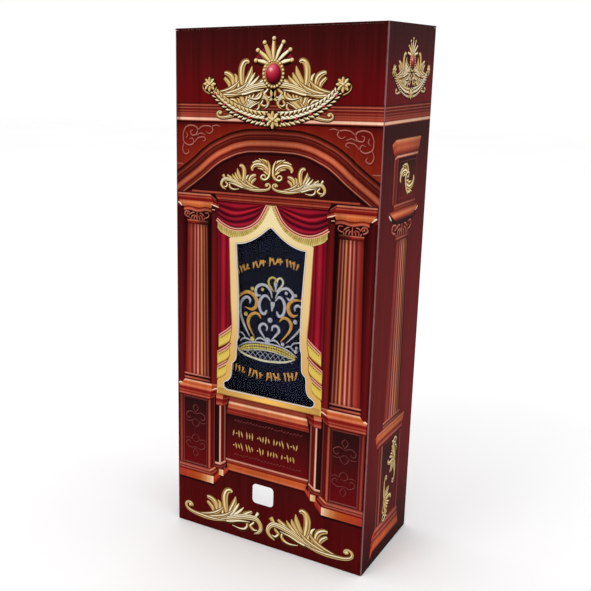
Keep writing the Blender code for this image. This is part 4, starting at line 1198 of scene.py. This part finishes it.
def oval(radius, count):
    """Evenly spaced points round two half circles about the rollers, with the outward way at each."""
    straight, bend = 2 * ROLLER, math.pi * radius
    run = np.linspace(0, 2 * (straight + bend), count, endpoint=False)
    points, ways = [], []
    for s in run:
        side, s = (1, s) if s < straight + bend else (-1, s - straight - bend)
        if s < straight:
            centre, turn = -ROLLER + s, -math.pi / 2
        else:
            centre, turn = ROLLER, -math.pi / 2 + (s - straight) / radius
        way = np.array([math.cos(turn), math.sin(turn)])
        points.append(side * (np.array([centre, 0]) + radius * way))
        ways.append(side * way)
    return np.array(points), np.array(ways)


def mantle_mesh():
    """The cover: a skirt that hangs from a stiff oval top, eased out in soft folds towards its hem."""
    around, up = 300, 84
    points, ways = oval(MANTLE_HALF_DEPTH - 0.6, around)
    turn = np.linspace(0, 2 * math.pi, around, endpoint=False)
    heights = np.linspace(0, 1, up)
    folds = 0.5 * np.sin(turn * 9 + 0.6) + 0.34 * np.sin(turn * 15 + 2.0) + 0.2 * np.sin(turn * 23 + 4.0)
    verts, faces = [], []

    def ring(z, inset, amount):
        flare = (1 - (z - MANTLE_LOW) / (MANTLE_HIGH - MANTLE_LOW)) ** 1.5
        place = points + ways * (-inset + amount * flare * (0.9 * folds[:, None] - 0.2))
        start = len(verts)
        verts.extend([(x, y, z) for x, y in place])
        return start

    rings = []
    for share in heights:  # outside, from the hem up
        z = MANTLE_LOW + (MANTLE_HIGH - 2.0 - MANTLE_LOW) * share
        seam = 0.5 * math.exp(-(((z - MANTLE_HIGH + 5) / 1.2) ** 2))
        rings.append(ring(z, seam, 1.0))
    for angle in (30, 60, 90):  # over the edge of the top
        a = math.radians(angle)
        rings.append(ring(MANTLE_HIGH - 2 + 2 * math.sin(a), 2 * (1 - math.cos(a)), 0))
    inside = [ring(MANTLE_LOW + (MANTLE_HIGH - CLOTH - MANTLE_LOW) * share, CLOTH, 1.0) for share in (0.0,
        0.5, 1.0)]
    for low, high in zip(rings, rings[1:]):
        for i in range(around):
            j = (i + 1) % around
            faces.append((low + i, low + j, high + j, high + i))
    for low, high in zip(inside, inside[1:]):
        for i in range(around):
            j = (i + 1) % around
            faces.append((low + j, low + i, high + i, high + j))
    for i in range(around):  # hem
        j = (i + 1) % around
        faces.append((rings[0] + j, rings[0] + i, inside[0] + i, inside[0] + j))
    # the top and its underside, each with a hole for either handle
    holes = []
    for z in (MANTLE_HIGH, MANTLE_HIGH - CLOTH):
        pair = []
        for side in (-1, 1):
            turns = np.linspace(0, 2 * math.pi, 40, endpoint=False)
            pair.append(len(verts))
            verts.extend([(side * ROLLER + HANDLE_HOLE * math.cos(t), HANDLE_HOLE * math.sin(t),
                           z) for t in turns])
        holes.append(pair)
    for rim, pair, flip in ((rings[-1], holes[0], False), (inside[-1], holes[1], True)):
        loops = [list(range(rim, rim + around))] + [list(range(hole, hole + 40)) for hole in pair]
        flat = [index for loop in loops for index in loop]
        found = tessellate_polygon([[Vector((*verts[index][:2], 0)) for index in loop] for loop in loops])
        for triangle in found:
            a, b, c = (flat[index] for index in triangle)
            (ax, ay, _), (bx, by, _), (cx, cy, _) = verts[a], verts[b], verts[c]
            up_facing = (bx - ax) * (cy - ay) - (by - ay) * (cx - ax) > 0
            faces.append((a, b, c) if up_facing != flip else (a, c, b))
    for top, under in zip(*holes):
        for i in range(40):
            j = (i + 1) % 40
            faces.append((top + i, top + j, under + j, under + i))
    mesh = bpy.data.meshes.new("velvet_mantle")
    mesh.from_pydata([tuple(c * MM for c in vert) for vert in verts], [], faces)
    return mesh


def make_mantle():
    mantle = add_piece("velvet_mantle", mantle_mesh(), velvet(), smooth=True)
    mantle.data.set_sharp_from_angle(angle=math.radians(50))
    mantle.data.materials.append(lining())
    low_z, inner = (MANTLE_HIGH - CLOTH - 0.3) * MM, (MANTLE_HALF_DEPTH - CLOTH - 1.2) * MM
    for face in mantle.data.polygons:
        middle = face.center
        from_spine = math.hypot(max(abs(middle.x) - ROLLER * MM, 0), middle.y)
        if middle.z < low_z + 0.2 * MM and from_spine < inner + 1.4 * MM and face.normal.dot(
            Vector((-middle.x, -middle.y, 0))
        ) > 0:
            face.material_index = 1
    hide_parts("scroll_mantle")
    return mantle

# ---------------------------------------- the embroidery

EYE = (365.0, 462.0)  # across and up: the window's points are carried from here back to the mantle's plane
SILVER_THREAD = [(0.2, "5c5c6c"), (0.45, "a0a0b0"), (0.62, "c8c8d4"), (0.85, "f0f0f6")]
GOLD_THREAD = [(0.25, "7a3c08"), (0.45, "c47412"), (0.6, "e0981e"), (0.8, "ffd250")]
YELLOW_THREAD = [(0.25, "6a540c"), (0.45, "b8941c"), (0.6, "dcc038"), (0.8, "fff080")]
CREAM_THREAD = [(0.2, "8c8668"), (0.45, "c8c29a"), (0.62, "e6e0bc"), (0.85, "fffbe6")]

# Satin-stitched strokes as (points, widths), in the printed front's coordinates
GOLD_SCROLLS = [
    ([(69, 249), (73, 243.6), (80, 240.6), (86, 242.6), (89.6, 248), (88.6, 254), (84, 257), (77, 255.6)],
     (1.6, 3.2, 3.6, 4, 4.2, 3.8, 3, 0.8)),
    ([(136.6, 241.8), (129, 242), (124, 245.6), (122.6, 250.6), (124.6, 255.4), (128.4, 257.2),
      (132.6, 255.4)],
     (1.6, 3, 3.8, 4.2, 4, 3, 0.8)),
    ([(94.4, 264.6), (92, 261), (88, 260.2), (83.4, 262.8), (80.8, 268), (82, 275), (87.6, 284)],
     (1, 2.6, 3, 3.4, 3.6, 2.6, 0.8)),
    ([(113.8, 265), (116.6, 261.4), (120.4, 260.4), (124.8, 263), (126.2, 268), (123, 275), (115.2, 284.4)],
     (1, 2.6, 3, 3.4, 3.4, 2.4, 0.8)),
]
SILVER_SCROLLS = [
    ([(105.6, 243), (104, 237), (100, 232.6), (95, 231.6), (90, 234), (88.2, 238.6), (90, 242.4), (94, 242)],
     (1, 2.2, 2.8, 3, 3, 3, 2.8, 1.6)),
    ([(109, 243), (112, 236.6), (117, 232.8), (122, 232.4), (126.6, 236), (127, 240), (124, 242.6),
      (121, 240.8)],
     (1, 2.2, 2.8, 3, 3, 3, 2.6, 1.4)),
    ([(104, 246), (101, 242.6), (97.4, 242), (93.6, 246), (92.4, 252), (94.4, 258), (98, 259.4),
      (100.4, 255.6)],
     (1.2, 2.2, 2.8, 3.2, 3.2, 3, 3, 1.6)),
    ([(109, 245.6), (112, 242), (115, 241.8), (118.4, 246), (119, 252), (117, 258), (113, 259.6),
      (110.6, 255.4)],
     (1.2, 2.2, 2.8, 3.2, 3.2, 3, 3, 1.6)),
    ([(82, 251.4), (82.4, 247.6), (79, 245.6), (74.6, 248.4), (72, 254), (72.4, 263), (76, 272.4),
      (82.4, 284)],
     (1.2, 2.6, 3, 3.2, 3, 2.8, 2.8, 1)),
    ([(129.6, 252.4), (129.4, 249), (132.4, 246.8), (136.6, 248.4)], (1, 2.6, 3, 2)),
    ([(136, 268), (130, 275.6), (121.4, 284.4)], (2.4, 2.2, 0.8)),
    ([(100.4, 275.6), (101, 271.8), (98, 269.4), (94.6, 270.6), (92.8, 274.4), (95.4, 279), (99.4, 284)],
     (1.4, 2.2, 2.6, 2.8, 3, 2.4, 1.2)),
    ([(106, 275), (106.6, 271.2), (109.6, 269.6), (112.6, 271), (113.4, 274.4), (110.6, 278.4),
      (106, 283.6)],
     (1.4, 2.2, 2.6, 2.8, 3, 2.4, 1.2)),
    ([(106.4, 246.6), (106.2, 250), (105.6, 256.6)], (4.6, 4.4, 0.6)),
    ([(109, 230), (109.2, 233), (108.4, 237)], (3, 2.4, 0.6)),
    ([(70.4, 281.4), (74.6, 282), (78, 286)], (1.6, 1.8, 1)),
    ([(72.4, 290.4), (75, 287.4), (79, 286.6), (83.4, 288)], (1, 1.8, 2, 1)),
    ([(88, 288), (91, 285), (94.4, 284), (98.6, 285.4)], (1, 1.8, 2.2, 1.2)),
    ([(104.4, 285.4), (108.4, 284), (111.6, 285), (115, 288)], (1.2, 2.2, 1.8, 1)),
    ([(120, 289), (123.4, 287.4), (126.4, 287.8), (129.4, 291)], (1, 2, 1.8, 1)),
    ([(126, 287.4), (129.4, 283.4), (135.6, 281.8)], (1, 1.8, 1.6)),
]
HEART_GOLD = [([(107.4, 228.6), (109.2, 225.4), (106.4, 223.4), (102.8, 225), (101.6, 228.6), (104, 233),
                (107, 236.6)],
               (1.4, 2, 2, 2.2, 2.2, 2, 1))]
HEART_CREAM = [([(110.6, 228), (111.2, 224.6), (114, 223.2), (116.6, 226), (116, 229.6), (112.6, 233.6),
                 (109.4, 236.8)],
                (1.4, 2, 2, 2.2, 2.2, 2, 1))]
PEARLS_SILVER = [((104, 265), 2.6), ((130.2, 262.6), 2.3), ((120.2, 236.6), 1.7), ((130, 237.6), 1.7),
                 ((109, 230), 2.0), ((101.6, 285.2), 3.0), ((117.8, 286.2), 2.0), ((132.2, 287.4), 1.5),
                 ((131.6, 291), 2.1), ((70.6, 286.6), 1.4)]
PEARLS_YELLOW = [((78.2, 262.4), 2.2), ((84.8, 236.8), 2.0), ((95.4, 236.2), 1.7), ((85.4, 286.2), 2.5)]


def on_mantle(x, d, lift=0.0):
    """Points of the mantle's front that show behind these points of the window, lifted off the velvet."""
    x, d = np.asarray(x, float), np.asarray(d, float)
    across = EYE[0] + (x - HALF_WIDTH - EYE[0]) * 1.010
    up = EYE[1] + (HEIGHT - d - EYE[1]) * 1.010
    radius = MANTLE_HALF_DEPTH - 0.6
    share = (up - MANTLE_LOW) / (MANTLE_HIGH - 2.0 - MANTLE_LOW)
    total = 4 * ROLLER + 2 * math.pi * radius
    turn = 2 * math.pi * (across + ROLLER) / total
    folds = 0.5 * np.sin(turn * 9 + 0.6) + 0.34 * np.sin(turn * 15 + 2.0) + 0.2 * np.sin(turn * 23 + 4.0)
    depth = radius + (1 - share) ** 1.5 * (0.9 * folds - 0.2) + lift
    past = np.maximum(np.abs(across) - ROLLER, 0)
    return np.stack([across, -np.sqrt(np.maximum(depth**2 - past**2, 1)), up], axis=-1)


class Stitching:
    """Raised satin stitch on the mantle, in one colour of thread."""

    def __init__(self, name):
        self.name, self.points, self.faces, self.uvs, self.count = name, [], [], [], 0

    def _add(self, x, d, lift, along, across):
        rows, columns = x.shape
        index = np.arange(rows * columns).reshape(rows, columns) + self.count
        self.faces += np.stack([index[:-1, :-1], index[1:, :-1], index[1:, 1:], index[:-1, 1:]],
                               axis=-1).reshape(-1, 4).tolist()
        self.points.append(on_mantle(x, d, lift).reshape(-1, 3))
        self.uvs.append(np.stack([np.broadcast_to(across, x.shape), np.broadcast_to(along, x.shape)],
                                 axis=-1).reshape(-1, 2))
        self.count += x.size

    def stroke(self, points, widths, height=None, samples=7):
        path = curve(points, samples)
        half = spread(widths, len(path))[:, None] / 2
        t = np.linspace(-1, 1, 9)[None, :]
        side = normals(path)
        run = np.concatenate([[0], np.cumsum(np.linalg.norm(np.diff(path, axis=0), axis=1))])[:, None]
        dome = np.sqrt(np.maximum(1 - t**2, 0)) ** 0.8
        tall = np.minimum(half * 0.75, 1.3) if height is None else height
        x, d = path[:, :1] + side[:, :1] * half * t, path[:, 1:] + side[:, 1:] * half * t
        self._add(x, d, tall * dome - 0.25, run * 1.0 + 0.5 * t * half, t * half)

    def pearl(self, centre, radius):
        ring, turn = np.meshgrid(np.linspace(0.02, 1, 6), np.linspace(0, 2 * math.pi, 21))
        self._add(centre[0] + radius * ring * np.cos(turn), centre[1] + radius * ring * np.sin(turn),
                  radius * 0.7 * np.sqrt(np.maximum(1 - ring**2, 0)) - 0.2, radius * ring * np.sin(turn),
                  ring * radius)

    def build(self, stops):
        mesh = bpy.data.meshes.new(self.name)
        mesh.from_pydata((np.vstack(self.points) * MM).tolist(), [], self.faces)
        layer = mesh.uv_layers.new(name="UVMap")
        uvs = np.vstack(self.uvs)
        corners = np.zeros(len(mesh.loops), dtype=np.int32)
        mesh.loops.foreach_get("vertex_index", corners)
        layer.data.foreach_set("uv", uvs[corners].astype(np.float32).ravel())
        return add_piece(self.name, mesh, thread(self.name + "_thread", stops), smooth=True)



def make_embroidery():
    gold, silver = Stitching("embroidery_gold"), Stitching("embroidery_silver")
    yellow, cream = Stitching("embroidery_yellow"), Stitching("embroidery_cream")
    for piece, scrolls in ((gold, GOLD_SCROLLS), (silver, SILVER_SCROLLS), (yellow, HEART_GOLD),
                           (cream, HEART_CREAM)):
        for points, widths in scrolls:
            piece.stroke(points, widths)
    for piece, pearls in ((silver, PEARLS_SILVER), (yellow, PEARLS_YELLOW)):
        for centre, radius in pearls:
            piece.pearl(centre, radius)
    # the ring: a silver rim, two rows of gold beads, a net of silver thread and the cream rim below
    top = [(70, 296), (78, 291.4), (88, 289), (101, 288.4), (114, 289), (124, 291.6), (133, 296.4)]
    silver.stroke(top, (0.8, 1.6, 1.8, 2, 1.8, 1.7, 0.8))
    for low in (0.0, 2.8):
        line = resample(curve([(72, 297.4 + low * 0.6), (80, 293.4 + low), (90, 291.4 + low),
                               (101, 290.8 + low), (112, 291.4 + low), (122, 293.2 + low),
                               (130, 296.4 + low * 0.8)], 8), 24)
        for point in line:
            yellow.pearl(point, 1.4)
    cream.stroke([(71, 299.6), (80, 298.4), (90, 296.2), (101, 295.4), (112, 296.2), (122, 298),
                  (130.4, 299.6)],
                 (0.8, 1, 1.2, 1.2, 1.2, 1, 0.6))
    cream.stroke([(68.6, 295), (71, 299.6), (78, 303), (88, 305.2), (100, 306), (112, 305), (122, 302.8),
                  (130.4, 299.4)],
                 (1.2, 2.2, 2.4, 2.4, 2.4, 2.4, 2.2, 1))
    for x in np.arange(78, 126, 5.4):
        for way in (-1, 1):
            high, low = ([x, 296.6 + 0.0012 * (x - 101) ** 2], [x + way * 7, 304.4 - 0.002 * (x - 101) ** 2])
            silver.stroke([high, [(high[0] + low[0]) / 2, (high[1] + low[1]) / 2], low], (0.5, 0.5, 0.5),
                          0.55, 3)
    # plain stitches in rows where the lettering stands
    stitched_row(gold, curve([(69, 221), (80, 216), (105, 208.6), (122, 208.4), (134, 212)], 10), 31)
    stitched_row(gold, curve([(64, 317), (80, 319.6), (97, 321.4), (118, 318.6), (136, 314)], 10), 47)
    gold.build(GOLD_THREAD)
    silver.build(SILVER_THREAD)
    yellow.build(YELLOW_THREAD)
    cream.build(CREAM_THREAD)


def stitched_row(piece, line, seed):
    """Groups of plain slanted stitches along a line, of no alphabet."""
    draw = random.Random(seed)
    places = resample(line, 20)
    for order, (x, d) in enumerate(places):
        if order % 5 == 4:
            continue
        lean, tall = draw.uniform(-1.6, 1.6), draw.choice((6.0, 7.4, 8.4))
        piece.stroke([(x + lean, d - tall / 2), (x + 0.3, d), (x - lean, d + tall / 2)], (2.5, 2.0, 0.9),
                     0.8)
        if draw.random() < 0.45:
            piece.pearl((x + 2.0, d + draw.uniform(-2.6, 2.6)), 1.0)

# ---------------------------------------- nodes, stage, camera


def finish_nodes():
    """Gives the carried-over solids their finishes."""
    print_finish = carton_print()
    for name in ("carton_body", "carton_lid", "dust_flap_left", "dust_flap_right"):
        dress(NODES[name], print_finish)
    dress(NODES["window_film"], clear_film())
    wood = turned_wood()
    for name in ("scroll_roller_left", "scroll_roller_right"):
        dress(NODES[name], wood)
    dress(NODES["scroll_parchment"], wound_paper())


def dress(node, material):
    if not node.material_slots:
        node.data.materials.append(material)
    for slot in node.material_slots:
        slot.material = material


CAMERA_AT = Vector((365.05, -757.15, 462.25)) * MM
CAMERA_AZIMUTH, CAMERA_ELEVATION, CAMERA_ROLL = (math.radians(a) for a in (-33.657, -14.530, -0.370))
IMAGE = 591  # pixels each way
FOCAL_PIXELS = 869.5
PRINCIPAL = (180.0, 296.0)  # the pixel that the lens points at
SENSOR = 36.0


def make_camera():
    camera = bpy.data.objects.new("camera", bpy.data.cameras.new("camera"))
    way = Vector((math.sin(CAMERA_AZIMUTH) * math.cos(CAMERA_ELEVATION),
                  math.cos(CAMERA_AZIMUTH) * math.cos(CAMERA_ELEVATION), math.sin(CAMERA_ELEVATION)))
    level = way.cross(Vector((0, 0, 1))).normalized()
    above = level.cross(way)
    c, s = math.cos(CAMERA_ROLL), math.sin(CAMERA_ROLL)
    right, up = level * c + above * s, above * c - level * s
    turn = Matrix((right, up, -way)).transposed()
    camera.matrix_world = Matrix.Translation(CAMERA_AT) @ turn.to_4x4()
    camera.data.sensor_width = SENSOR
    camera.data.lens = FOCAL_PIXELS / IMAGE * SENSOR
    camera.data.shift_x = (IMAGE / 2 - PRINCIPAL[0]) / IMAGE
    camera.data.shift_y = (PRINCIPAL[1] - IMAGE / 2) / IMAGE
    camera.data.clip_start = 0.01
    bpy.context.scene.collection.objects.link(camera)
    bpy.context.scene.camera = camera


def make_floor():
    size = 6.0
    mesh = bpy.data.meshes.new("studio_floor")
    mesh.from_pydata([(-size, -size, -0.0004), (size, -size, -0.0004), (size, size, -0.0004),
                      (-size, size, -0.0004)],
                     [], [(0, 1, 2, 3)])
    mesh.materials.append(floor_paint())
    floor = bpy.data.objects.new("studio_floor", mesh)
    bpy.context.scene.collection.objects.link(floor)


def area_light(name, at, target, size, power):
    light = bpy.data.lights.new(name, "AREA")
    light.shape = "DISK"
    light.size = size
    light.energy = power
    obj = bpy.data.objects.new(name, light)
    obj.location = at
    obj.rotation_euler = (Vector(target) - Vector(at)).to_track_quat("-Z", "Y").to_euler()
    bpy.context.scene.collection.objects.link(obj)


def make_studio():
    scene = bpy.context.scene
    scene.view_settings.view_transform = "Standard"
    scene.view_settings.look = "None"
    world = bpy.data.worlds.new("studio")
    world.use_nodes = True
    background = world.node_tree.nodes["Background"]
    background.inputs["Color"].default_value = (1.0, 1.0, 1.0, 1.0)
    background.inputs["Strength"].default_value = 1.0
    scene.world = world
    middle = (0, 0, HEIGHT * MM / 2)
    area_light("key_light", (-0.6, -1.7, 2.3), middle, 0.9, 9)
    area_light("side_light", (2.2, 0.6, 1.6), middle, 1.2, 3)
    make_floor()


make_camera()
make_studio()
finish_nodes()
make_mantle()
make_embroidery()
printed = ink()
for draw_artwork in (front_cornice, front_arch, front_entablature, front_columns, front_pedestals,
                     front_panel,
                     front_curtains, front_border, front_tiebacks, front_gilding, front_crest, front_label,
                     back_artwork, lid_artwork):
    draw_artwork().build(printed)
for face in ("right", "left"):
    side_artwork(face).build(printed)
    side_crest(face).build(printed)
